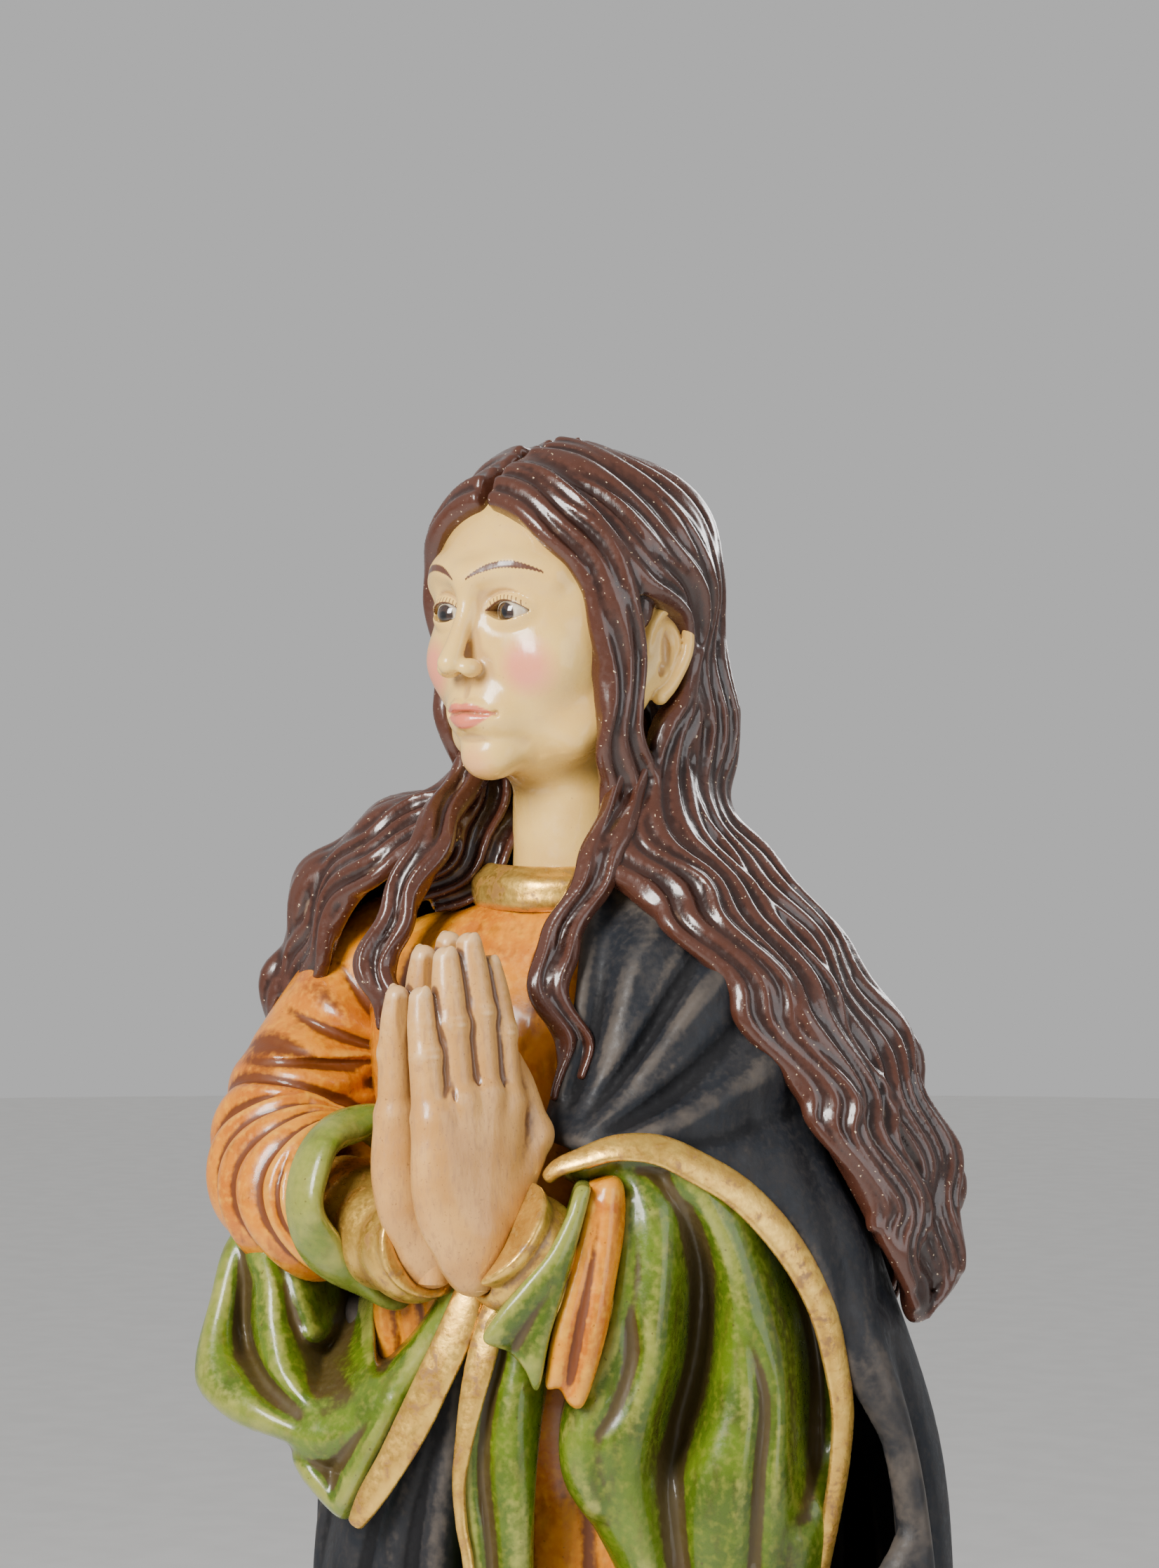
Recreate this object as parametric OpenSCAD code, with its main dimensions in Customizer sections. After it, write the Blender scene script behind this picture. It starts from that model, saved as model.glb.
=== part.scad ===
// Carved and painted wooden Madonna, about 1 m tall, built up from glued blocks on a plinth.
// Frame: +Z up, origin at the middle of the underside, the figure faces -Y and her left is +X.

/* [Plinth] */
// Width of the plinth across the figure
plinth_w = 300; // [290:1:340]
// Depth of the plinth, front to back
plinth_d = 260; // [250:1:300]
// Height of the whole plinth
plinth_h = 62; // [62:62]

/* [Figure] */
// Depth of the vertical folds of the tunic, as a share of its radius
fold_depth = 0.045; // [0.01:0.005:0.07]
// Number of folds round the hem of the tunic
fold_count = 13; // [9:1:17]
// Turn of the head towards her right, in degrees
head_turn = 12; // [0:1:20]
// Turn of the joined hands towards her right, in degrees
hands_turn = 20; // [14:1:24]

/* [Joinery] */
// Gap between glued carved blocks
glue_gap = 0.2; // [0.1:0.05:0.4]
// Radius of the peg on each wrist
peg_r = 6; // [5:0.5:7]
// Running clearance round each wrist peg
peg_gap = 0.06; // [0.02:0.01:0.1]
// Length of each wrist peg inside its socket
peg_len = 17; // [12:1:17]
// Radius of the beech dowels that hold the blocks
dowel_r = 5; // [4:0.5:6]
// Radius of each glass eye
eye_r = 8; // [7.5:0.1:8.2]
// Width of the hollow cut into the back of the trunk
hollow_w = 76; // [60:1:84]

/* [Hidden] */

big = 2000;             // a length past every face of the figure
sides = 40;             // points round each carved ring
trunk_sides = 52;       // points round the folded trunk
hair_sides = 14;        // points round each lock
head_sides = 32;        // points round the head
trunk_z0 = plinth_h;    // underside of the figure
collar_z = 806;         // shoulder level, where the collar sits
neck_r = 25;            // radius of the neck
hands_mid = [17, -113]; // where the palms meet, seen from above
heel_z = 678;           // height of the heels of the hands
hand_off = 13;          // distance of each hand's middle from the palm plane
palm_gap = 0.25;        // room that each hand keeps from the palm plane
heel_gap = 1.2;         // depth of each undersleeve's recess below the hand's heel
mask_y = -22;           // plane where the face mask is split from the head, in the head's own frame
eye_x = 17;             // half the distance between the eyes
eye_z = 927;            // height of the eyes
eye_y = -46;            // depth of the eyes' centres
travel = 22;            // how far each hand lifts out of its sleeve

skin_paint = [0.93, 0.82, 0.55];
hair_paint = [0.23, 0.13, 0.10];
tunic_paint = [0.87, 0.48, 0.10];
lining_paint = [0.42, 0.52, 0.20];
mantle_paint = [0.12, 0.13, 0.15];
gilding = [0.80, 0.62, 0.25];
bare_wood = [0.72, 0.55, 0.36];

// ---------------------------------------------------------------- shaping

function unit(v) = v / norm(v);
function xyz(p) = [p[0], p[1], p[2]];

// A point of the smooth curve through the stations p, t of the way from station i to the next
function between(p, i, t) =
    let (a = p[max(i - 1, 0)], b = p[i], c = p[i + 1], d = p[min(i + 2, len(p) - 1)])
    0.5 * (2 * b + (c - a) * t + (2 * a - 5 * b + 4 * c - d) * t * t + (3 * b - a - 3 * c + d) * t * t * t);

function smooth(p, steps) = [for (i = [0:len(p) - 2], j = [0:steps - 1]) between(p, i, j / steps), p[len(p) - 1]];

// Level ring for a station [z, x, y, half width, half depth, fold depth]
function level_ring(s, folds, n) = [
    for (i = [0:n - 1])
        let (a = 360 * i / n, k = 1 + s[5] * cos(folds * a))
            [s[1] + s[3] * k * cos(a), s[2] + s[4] * k * sin(a), s[0]]
];

// Ring square to the path for a station [x, y, z, half width, half thickness], with its width square to ref
function path_ring(p, i, ref, n) =
    let (t = unit(xyz(p[min(i + 1, len(p) - 1)]) - xyz(p[max(i - 1, 0)])))
    let (a = unit(cross(ref, t)), b = cross(t, a))
    [for (k = [0:n - 1]) xyz(p[i]) + p[i][3] * cos(360 * k / n) * a + p[i][4] * sin(360 * k / n) * b];

// Closed solid through a list of rings that all have the same number of points
module skin(rings) {
    n = len(rings[0]);
    m = len(rings);
    polyhedron(
        points = [for (r = rings) each r],
        faces = concat(
            [[for (i = [0:n - 1]) i]],
            [for (j = [0:m - 2], i = [0:n - 1]) [j * n + i, j * n + n + i, j * n + n + (i + 1) % n]],
            [for (j = [0:m - 2], i = [0:n - 1]) [j * n + i, j * n + n + (i + 1) % n, j * n + (i + 1) % n]],
            [[for (i = [n - 1:-1:0]) (m - 1) * n + i]]
        )
    );
}

module lofted(stations, steps, folds = 1, n = sides) {
    skin([for (s = smooth(stations, steps)) level_ring(s, folds, n)]);
}

module swept(stations, steps, ref = [0, 1, 0], n = hair_sides) {
    p = smooth(stations, steps);
    skin([for (i = [0:len(p) - 1]) path_ring(p, i, ref, n)]);
}

// One carved block: its surfaces are faceted together, with every cut already made
module carved() {
    resize([0, 0, 0]) children();
}

// Upright wedge round the Z axis from angle a0 to a1, and from z0 to z1
module wedge(a0, a1, z0, z1) {
    steps = 4;
    translate([0, 0, z0])
        linear_extrude(z1 - z0)
            polygon(concat([[0, 0]], [for (i = [0:steps]) 400 * [cos(a0 + (a1 - a0) * i / steps), sin(a0 + (a1 - a0) * i / steps)]]));
}

// Turns +Z to run along direction d, with its foot at p
module along(p, d) {
    u = unit(d);
    translate(p)
        rotate([0, acos(u[2]), atan2(u[1], u[0])])
            children();
}

module dowel_bar(p, q, r) {
    along(p, q - p) cylinder(h = norm(q - p), r = r, $fn = 32);
}

// ---------------------------------------------------------------- plinth

module slab(w, d, h, corner) {
    linear_extrude(h)
        polygon([
            [-w / 2 + corner, -d / 2], [w / 2 - corner, -d / 2], [w / 2, -d / 2 + corner], [w / 2, d / 2 - corner],
            [w / 2 - corner, d / 2], [-w / 2 + corner, d / 2], [-w / 2, d / 2 - corner], [-w / 2, -d / 2 + corner]
        ]);
}

foot_h = 20;
top_h = 14;
corner_cut = 34;
screw_r = 2.5;
screw_head_r = 5.5;
screw_spots = [[-52, -36], [52, -36], [-52, 36], [52, 36]];

module screw_holes(r) {
    for (s = screw_spots)
        translate([s[0], s[1], -1]) cylinder(h = plinth_h + 40, r = r, $fn = 24);
}

module plinth_foot() {
    color("saddlebrown")
        difference() {
            slab(plinth_w, plinth_d, foot_h, corner_cut);
            screw_holes(screw_head_r + 1);
        }
}

module plinth_die() {
    color("saddlebrown")
        difference() {
            translate([0, 0, foot_h]) slab(plinth_w - 28, plinth_d - 28, plinth_h - foot_h - top_h, corner_cut - 8);
            screw_holes(screw_r + 0.2);
        }
}

module plinth_top() {
    color(gilding)
        difference() {
            translate([0, 0, plinth_h - top_h]) slab(plinth_w - 10, plinth_d - 10, top_h, corner_cut - 3);
            screw_holes(screw_r + 0.2);
        }
}

// Four long wood screws, driven up from below into the trunk
module plinth_screws() {
    color("silver")
        for (s = screw_spots) {
            translate([s[0], s[1], foot_h - 5]) cylinder(h = 5, r = screw_head_r, $fn = 24);
            translate([s[0], s[1], foot_h]) cylinder(h = 72, r = screw_r, $fn = 24);
        }
}

// ---------------------------------------------------------------- trunk and its hollow back

trunk_stations = [
    [trunk_z0, 0, 0, 118, 92, fold_depth],
    [150, 0, 0, 112, 86, fold_depth],
    [300, 0, 0, 103, 78, fold_depth],
    [430, 0, 0, 96, 70, fold_depth * 0.7],
    [540, 0, 0, 88, 64, fold_depth * 0.4],
    [620, 0, 2, 72, 56, 0],
    [690, 0, 0, 80, 60, 0],
    [750, 0, 0, 90, 62, 0],
    [786, 0, 4, 90, 50, 0],
    [800, 0, 5, 72, 42, 0],
    [collar_z, 0, 4, 42, 36, 0]
];

module trunk_outer() {
    lofted(trunk_stations, 2, fold_count, trunk_sides);
}

// The trunk, grown by the glue gap, for fitting other blocks round it
module trunk_grown() {
    lofted([for (s = trunk_stations) s + [0, 0, 0, glue_gap, glue_gap, 0]], 2, fold_count, trunk_sides);
}

hollow_z0 = 130;
hollow_z1 = 700;
cover_z0 = 100;
cover_z1 = 740;
cover_y = 44;

// The hollow that keeps the block from splitting as it dries
module back_hollow() {
    translate([-hollow_w / 2, -8, hollow_z0]) cube([hollow_w, 200, hollow_z1 - hollow_z0]);
}

module cover_space(gap) {
    translate([-hollow_w / 2 - 12 - gap, cover_y - gap, cover_z0 - gap])
        cube([hollow_w + 24 + 2 * gap, 200, cover_z1 - cover_z0 + 2 * gap]);
}

module neck_bore(gap) {
    translate([0, 2, collar_z - 50]) cylinder(h = 120, r = dowel_r * 1.6 + gap, $fn = 32);
}

right_shoulder = [-60, 4, 776];
left_shoulder = [60, 4, 776];
sleeve_dowel_len = 46;

module sleeve_dowel_at(p, side, gap) {
    dowel_bar(p, p + sleeve_dowel_len * unit([side, -0.1, -0.25]), dowel_r + gap);
}

module trunk() {
    color(tunic_paint)
        carved() difference() {
            trunk_outer();
            back_hollow();
            cover_space(glue_gap);
            cover_screw_set(glue_gap);
            neck_bore(glue_gap);
            screw_holes(screw_r + 0.2);
            sleeve_dowel_at(right_shoulder, -1, glue_gap);
            sleeve_dowel_at(left_shoulder, 1, glue_gap);
            for (p = mantle_pin_spots) mantle_pin(p, glue_gap);
        }
}

// ---------------------------------------------------------------- mantle, cut into blocks from one outer shape

mantle_stations = [
    [trunk_z0 + 3, 2, 8, 134, 110, fold_depth],
    [200, 6, 10, 138, 108, fold_depth],
    [360, 12, 13, 138, 102, fold_depth],
    [480, 17, 15, 137, 99, fold_depth * 0.6],
    [580, 17, 15, 132, 96, fold_depth * 0.4],
    [660, 10, 11, 125, 91, 0],
    [730, 5, 7, 118, 85, 0],
    [784, 2, 6, 108, 68, 0],
    [812, 0, 6, 70, 50, 0],
    [822, 0, 5, 44, 40, 0]
];

module mantle_outer() {
    lofted(mantle_stations, 2, fold_count + 3, sides);
}

// The part of the mantle between two angles and two heights, fitted round the trunk
module mantle_block(a0, a1, z0, z1) {
    difference() {
        intersection() {
            mantle_outer();
            wedge(a0, a1, z0, z1);
        }
        trunk_grown();
        neck_space();
    }
}

module neck_space() {
    translate([0, 2, collar_z - 6]) cylinder(h = 60, r = 40, $fn = 48);
}

back_half = 42;          // half the angle that the back cover takes
front_gap = 26;          // half the angle left open over the tunic in front

// The carved board that closes the hollow: the back of the mantle, with a tongue that fills the rebate
module back_cover() {
    color(mantle_paint)
        carved() difference() {
            intersection() {
                mantle_outer();
                wedge(90 - back_half, 90 + back_half, trunk_z0 + 3, 800);
            }
            difference() {
                trunk_grown();
                cover_space(0);
            }
            translate([-plinth_w, -plinth_d, 0]) cube([2 * plinth_w, plinth_d + cover_y, big]);
            neck_space();
            cover_screw_set(glue_gap);
            hair_space();
        }
}

screw_seat_y = 74;
screw_tip_y = 24;
cover_screw_spots = [for (z = [180, 420, 660], x = [-44, 44]) [x, z]];

module cover_screw_set(gap) {
    for (s = cover_screw_spots)
        translate([s[0], 140, s[1]]) rotate([90, 0, 0]) {
            cylinder(h = 140 - screw_tip_y, r = 2 + gap, $fn = 16);
            cylinder(h = 140 - screw_seat_y, r = 4 + gap, $fn = 16);
        }
}

// Six brass screws, each in a counterbore through the cover
module back_cover_screws() {
    color("goldenrod")
        for (s = cover_screw_spots)
            translate([s[0], screw_seat_y + 3, s[1]]) rotate([90, 0, 0]) {
                cylinder(h = 50, r = 2, $fn = 16);
                cylinder(h = 3, r = 4, $fn = 16);
            }
}

module mantle_left_side() {
    color(mantle_paint)
        carved() difference() {
            mantle_block(-90 + front_gap + 14, 90 - back_half - 0.2, trunk_z0 + 3, 590);
            arm_space(1);
            turnback_shape(glue_gap);
            for (p = mantle_pin_spots) mantle_pin(p, glue_gap);
        }
}

module mantle_right_side() {
    color(mantle_paint)
        carved() difference() {
            mantle_block(90 + back_half + 0.2, 270 - front_gap - 30, trunk_z0 + 3, 600);
            arm_space(-1);
            swag_shape(glue_gap);
            for (p = mantle_pin_spots) mantle_pin(p, glue_gap);
        }
}

module mantle_front() {
    color(mantle_paint)
        carved() difference() {
            mantle_block(270 - front_gap - 29.8, 262, 120, 590);
            swag_shape(glue_gap);
            arm_space(1);
            arm_space(-1);
            turnback_shape(glue_gap);
        }
}

module mantle_shoulder() {
    color(mantle_paint)
        carved() difference() {
            mantle_block(-78, 90 - back_half - 0.2, 590.2, 818);
            arm_space(1);
            arm_space(-1);
            hair_space();
            turnback_shape(glue_gap);
            cover_screw_set(glue_gap);
            sleeve_dowel_at(left_shoulder, 1, glue_gap);
        }
}

// The mantle's edge turned over the left forearm, hanging as a broad loop
turnback_path = [
    [52, -84, 700, 24, 10], [86, -76, 690, 38, 22], [112, -62, 650, 42, 34],
    [112, -56, 600, 44, 36], [104, -54, 550, 40, 32], [96, -52, 515, 26, 20]
];

module turnback_shape(gap) {
    swept([for (s = turnback_path) s + [0, 0, 0, gap, gap]], 3, [0.5, -0.86, 0.1], 20);
}

module mantle_turnback() {
    color(lining_paint)
        carved() difference() {
            turnback_shape(0);
            trunk_grown();
            arm_space(1);
        }
}

// The mantle's other edge, drawn up across the right hip and tucked under the hands
swag_path = [
    [-126, 0, 600, 26, 20], [-128, -44, 612, 42, 20], [-104, -76, 586, 44, 22], [-60, -92, 580, 38, 18],
    [-24, -96, 612, 22, 14], [10, -92, 640, 12, 10]
];

module swag_shape(gap) {
    swept([for (s = swag_path) s + [0, 0, 0, gap, gap]], 3, [0, 0, 1], 20);
}

module mantle_swag() {
    color(lining_paint)
        carved() difference() {
            swag_shape(0);
            trunk_grown();
            arm_space(-1);
            arm_space(1);
            turnback_shape(glue_gap);
        }
}

mantle_pin_spots = [[-1, 300], [-1, 520], [1, 300], [1, 480]];

module mantle_pin(p, gap) {
    dowel_bar([p[0] * 62, 20, p[1]], [p[0] * 112, 20, p[1]], dowel_r + gap);
}

// Four dowels through the sides of the trunk into the mantle blocks
module mantle_pins() {
    color(bare_wood)
        for (p = mantle_pin_spots) mantle_pin(p, 0);
}

// ---------------------------------------------------------------- arms

right_arm = [
    [-80, 4, 794, 22, 22], [-102, -4, 768, 29, 29], [-113, -26, 728, 33, 33], [-104, -54, 696, 34, 34],
    [-76, -74, 686, 33, 34], [-50, -83, 684, 32, 34]
];
left_arm = [
    [74, 6, 786, 20, 20], [84, 2, 756, 24, 24], [90, -8, 712, 27, 27], [90, -34, 670, 30, 31],
    [76, -60, 664, 32, 34], [60, -82, 672, 30, 33]
];
right_wrist = [[-60, -80, 685, 25, 25], [-38, -89, 680, 26, 26], [-14, -100, 677, 25, 24], [1, -108, 686, 24, 23]];
left_wrist = [[66, -74, 668, 24, 24], [51, -93, 668, 26, 26], [37, -110, 672, 26, 26], [24, -124, 682, 24, 24]];

module sleeve_shape(path, gap) {
    swept([for (s = path) s + [0, 0, 0, gap, gap]], 3, [0, 0.3, 1], 22);
}

// The middle of an arm, so that no splinter of mantle stays in the crook of the elbow
module arm_core(path) {
    for (i = [1:len(path) - 3])
        hull()
            for (s = [path[i], path[i + 1]]) translate([s[0], s[1], s[2]]) sphere(r = s[3] - 1, $fn = 24);
}

// Everything that the mantle and hair must leave free for one arm: side 1 is her left
module arm_space(side) {
    path = side > 0 ? left_arm : right_arm;
    wrist = side > 0 ? left_wrist : right_wrist;
    sleeve_shape(path, 4 * glue_gap);
    arm_core(path);
    cuff_shape(path, 8 + glue_gap, 18);
    sleeve_shape(wrist, glue_gap);
    hand_sweep(side);
}

// The direction in which a sleeve ends
function end_way(path) =
    let (p = smooth(path, 3), n = len(p))
    unit(xyz(p[n - 1]) - xyz(p[n - 2]));

// The flared end of a sleeve, grown outward by flare over its last stretch
module cuff_shape(path, flare, reach) {
    e = xyz(path[5]);
    along(e, end_way(path)) cylinder(h = reach, r1 = path[5][4] + flare * 0.5, r2 = path[5][4] + flare, $fn = 48);
}

module sleeve(path, wrist, shoulder, side) {
    color(tunic_paint)
        carved() difference() {
            sleeve_shape(path, 0);
            trunk_grown();
            sleeve_dowel_at(shoulder, side, glue_gap);
            sleeve_shape(wrist, glue_gap);
            hand_sweep(side);
        }
}

module cuff(path, wrist, side) {
    e = xyz(path[5]);
    d = end_way(path);
    color(lining_paint)
        difference() {
            along(e + 2 * glue_gap * d, d) cylinder(h = 16, r1 = path[5][4] + 2, r2 = path[5][4] + 6, $fn = 48);
            along(e, d) cylinder(h = 60, r1 = path[5][4] - 3, r2 = path[5][4] + 10, $fn = 48);
            sleeve_shape(wrist, 2 * glue_gap);
            trunk_grown();
            hand_sweep(side);
        }
}

module undersleeve(wrist, side) {
    color(gilding)
        difference() {
            sleeve_shape(wrist, 0);
            hand_frame(side) {
                translate([0, 0, -heel_gap]) cylinder(h = 60, r = 20.5, $fn = 48);
                translate([0, 0, 7]) cylinder(h = 60, r = 34, $fn = 48);
                translate([0, 0, -peg_len - 1]) cylinder(h = peg_len + 10, r = peg_r + peg_gap, $fn = 48);
                translate([-hand_off - 100 + palm_gap, -100, -100]) cube([100, 200, 200]);
            }
        }
}

module sleeve_dowel(shoulder, side) {
    color(bare_wood) sleeve_dowel_at(shoulder, side, 0);
}

// ---------------------------------------------------------------- hands

// Frame of one hand: foot at the middle of its heel, +Z along the fingers, +X away from the other palm, -Y to the little finger
module hand_frame(side) {
    translate([hands_mid[0], hands_mid[1], heel_z])
        rotate([0, 0, -hands_turn])
            translate([side * hand_off, 0, 0])
                mirror([side > 0 ? 0 : 1, 0, 0]) children();
}

fingers = [
    // knuckle y, knuckle z, tip y, tip z, radius
    [-19, 56, -22, 100, 5.6],
    [-7, 62, -8, 114, 6.4],
    [6, 64, 4, 121, 6.6],
    [18, 60, 15, 112, 6.4]
];

module finger(f) {
    hull() {
        translate([-2, f[0], f[1] - 10]) sphere(r = f[4] + 1.2, $fn = 14);
        translate([-hand_off + f[4] + 0.5, f[2], f[3]]) sphere(r = f[4] - 0.6, $fn = 14);
    }
}

module hand_solid() {
    for (f = fingers) finger(f);
    hull() {
        for (y = [-17, 17], z = [26, 58]) translate([-1, y, z]) sphere(r = 8.5, $fn = 14);
        for (y = [-10, 10]) translate([0, y, 4]) cylinder(h = 10, r = 9, $fn = 14);
        cylinder(h = 6, r = 17, $fn = 20);
    }
    hull() {
        translate([-1, 18, 28]) sphere(r = 7.5, $fn = 14);
        translate([-4, 30, 58]) sphere(r = 5, $fn = 14);
    }
}

// All the room that one hand needs from rest to fully lifted out
module hand_sweep(side) {
    for (lift = [0, travel * 0.5, travel + 1])
        hand_frame(side)
            translate([0, 0, lift])
                hull() {
                    translate([0, 0, -0.8]) cylinder(h = 8, r = 18.5, $fn = 20);
                    for (y = [-20, 24], z = [26, 56]) translate([0, y, z]) sphere(r = 11, $fn = 14);
                }
}

module hand(side) {
    color(skin_paint)
        hand_frame(side)
            carved() difference() {
                hand_solid();
                translate([0, 0, -1]) cylinder(h = 21, r = peg_r + glue_gap, $fn = 32);
                translate([-hand_off - 100 + palm_gap, -100, -50]) cube([100, 200, 200]);
            }
}

module wrist_peg(side) {
    color(bare_wood)
        hand_frame(side)
            translate([0, 0, -peg_len]) cylinder(h = peg_len + 19.5, r = peg_r, $fn = 48);
}

// ---------------------------------------------------------------- head

head_stations = [
    [collar_z, 0, 2, neck_r, neck_r, 0],
    [844, 0, 2, neck_r, neck_r + 1, 0],
    [858, 0, -6, 31, 42, 0],
    [874, 0, -4, 42, 54, 0],
    [900, 0, 0, 54, 62, 0],
    [930, 0, 2, 60, 66, 0],
    [958, 0, 3, 59, 65, 0],
    [982, 0, 5, 46, 51, 0],
    [996, 0, 6, 26, 30, 0],
    [1000, 0, 6, 10, 12, 0]
];

module head_frame() {
    rotate([0, 0, -head_turn]) children();
}

module head_outer() {
    lofted(head_stations, 2, 1, head_sides);
}

module mask_space(gap) {
    translate([-100, -200, 852 - gap]) cube([200, 200 + mask_y + gap, 118 + 2 * gap]);
}

module eye_axis(side, y, length, r) {
    translate([side * eye_x, y, eye_z]) rotate([90, 0, 0]) cylinder(h = length, r = r, $fn = 32);
}

mask_pin_spots = [[-26, 890], [26, 890], [0, 955]];

module mask_pin_set(r) {
    for (p = mask_pin_spots)
        translate([p[0], mask_y + 10, p[1]]) rotate([90, 0, 0]) cylinder(h = 20, r = r, $fn = 20);
}

module head_block() {
    color(hair_paint)
        carved() difference() {
            head_frame()
                difference() {
                    head_outer();
                    mask_space(glue_gap);
                    mask_pin_set(2.2);
                    for (s = [-1, 1]) eye_axis(s, mask_y + 4, 10, eye_r + 0.4);
                }
            neck_bore(glue_gap);
            hair_dowel_set(glue_gap);
        }
}

// The front of the head, split off so that the glass eyes can be set from behind
module face_mask() {
    color(skin_paint)
        head_frame()
            difference() {
                intersection() {
                    head_outer();
                    mask_space(0);
                }
                mask_pin_set(2.2);
                for (s = [-1, 1]) eye_axis(s, mask_y + 1, 60, eye_r + 0.4);
            }
}

module mask_pins() {
    color(bare_wood) head_frame() mask_pin_set(2);
}

module eye(side) {
    color("midnightblue")
        head_frame() translate([side * eye_x, eye_y, eye_z]) sphere(r = eye_r, $fn = 48);
}

// Putty that holds an eye from behind, hollowed to its curve
module eye_putty(side) {
    color("wheat")
        head_frame()
            difference() {
                eye_axis(side, mask_y + 3, 22, eye_r + 0.2);
                translate([side * eye_x, eye_y, eye_z]) sphere(r = eye_r + 0.05, $fn = 48);
            }
}

module neck_dowel() {
    color(bare_wood) translate([0, 2, collar_z - 49]) cylinder(h = 118, r = dowel_r * 1.6, $fn = 32);
}

// Gilded neckband, which hides the joint of neck and trunk
module collar() {
    color(gilding)
        translate([0, 2, collar_z + glue_gap])
            rotate_extrude($fn = 64)
                polygon([
                    [neck_r + 0.6, 0], [neck_r + 12, 0], [neck_r + 14, 5], [neck_r + 13, 11],
                    [neck_r + 9, 17], [neck_r + 4, 20], [neck_r + 0.6, 19]
                ]);
}

// ---------------------------------------------------------------- hair blocks

left_hair = [
    [48, 22, 905, 14, 16], [58, 26, 860, 20, 18], [84, 34, 810, 32, 18], [112, 44, 760, 36, 18],
    [130, 54, 710, 34, 16], [134, 56, 668, 24, 14], [126, 50, 632, 8, 8]
];
right_hair = [
    [-46, 24, 900, 14, 16], [-56, 28, 856, 20, 18], [-78, 34, 812, 28, 18], [-100, 40, 768, 26, 15],
    [-110, 44, 724, 20, 12], [-108, 46, 690, 8, 8]
];
back_hair = [
    [0, 58, 905, 34, 16], [0, 60, 850, 50, 18], [0, 70, 790, 76, 16], [0, 86, 720, 84, 14],
    [0, 92, 660, 70, 12], [0, 92, 620, 36, 8]
];
left_lock = [
    [44, -12, 866, 9, 12], [46, -34, 832, 11, 10], [46, -54, 800, 12, 9], [42, -68, 768, 13, 8], [48, -68, 736, 6, 5]
];
right_lock = [
    [-40, -12, 862, 9, 12], [-44, -34, 830, 11, 10], [-40, -54, 800, 11, 9], [-34, -68, 770, 12, 8], [-40, -68, 738, 6, 5]
];

module hair_shape(path, gap) {
    swept([for (s = path) s + [0, 0, 0, gap, gap]], 3, [0, 1, 0.2]);
}

module head_space() {
    head_frame() lofted([for (s = head_stations) s + [0, 0, 0, glue_gap, glue_gap, 0]], 2, 1, head_sides);
}

module hair_space() {
    hair_shape(left_hair, glue_gap);
    hair_shape(right_hair, glue_gap);
    hair_shape(back_hair, glue_gap);
    hair_shape(left_lock, glue_gap);
}

// A block of hair, trimmed to sit on the head, neckband, trunk and sleeves
module hair_block(path) {
    color(hair_paint)
        carved() difference() {
            hair_shape(path, 0);
            head_space();
            translate([0, 2, collar_z - 2]) cylinder(h = 24, r = neck_r + 14.4, $fn = 48);
            trunk_grown();
            sleeve_shape(right_arm, glue_gap);
            sleeve_shape(left_arm, glue_gap);
            if (path != back_hair) hair_shape(back_hair, glue_gap);
            if (path == left_lock) hair_shape(left_hair, glue_gap);
            if (path == right_lock) hair_shape(right_hair, glue_gap);
            hair_dowel_set(glue_gap);
        }
}

module hair_dowel_set(gap) {
    dowel_bar([30, 40, 880], [56, 30, 872], 3 + gap);
    dowel_bar([-30, 40, 876], [-54, 32, 868], 3 + gap);
}

module hair_dowels() {
    color(bare_wood) hair_dowel_set(0);
}

// ---------------------------------------------------------------- nodes

plinth_foot();
plinth_die();
plinth_top();
plinth_screws();
trunk();
back_cover();
back_cover_screws();
collar();
head_block();
face_mask();
neck_dowel();
mask_pins();
eye(1);  // left_eye
eye(-1);  // right_eye
eye_putty(1);  // left_eye_putty
eye_putty(-1);  // right_eye_putty
hair_block(left_hair);  // left_hair_fall
hair_block(right_hair);  // right_hair_fall
hair_block(back_hair);  // back_hair_fall
hair_block(left_lock);  // left_front_lock
hair_block(right_lock);  // right_front_lock
hair_dowels();
sleeve(right_arm, right_wrist, right_shoulder, -1);  // right_sleeve
cuff(right_arm, right_wrist, -1);  // right_cuff
undersleeve(right_wrist, -1);  // right_undersleeve
sleeve_dowel(right_shoulder, -1);  // right_sleeve_dowel
sleeve(left_arm, left_wrist, left_shoulder, 1);  // left_sleeve
cuff(left_arm, left_wrist, 1);  // left_cuff
undersleeve(left_wrist, 1);  // left_undersleeve
sleeve_dowel(left_shoulder, 1);  // left_sleeve_dowel
hand(-1);  // right_hand
wrist_peg(-1);  // right_wrist_peg
hand(1);  // left_hand
wrist_peg(1);  // left_wrist_peg
mantle_shoulder();
mantle_turnback();
mantle_left_side();
mantle_right_side();
mantle_swag();
mantle_front();
mantle_pins();
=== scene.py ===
"""Carved and painted wooden Madonna: the looks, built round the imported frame.

Shapes are worked out in millimetres as signed distances on small voxel blocks, so carved folds, locks and
features blend as wood does under a gouge, and are turned into meshes in metres at the end.
"""

import math

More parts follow.
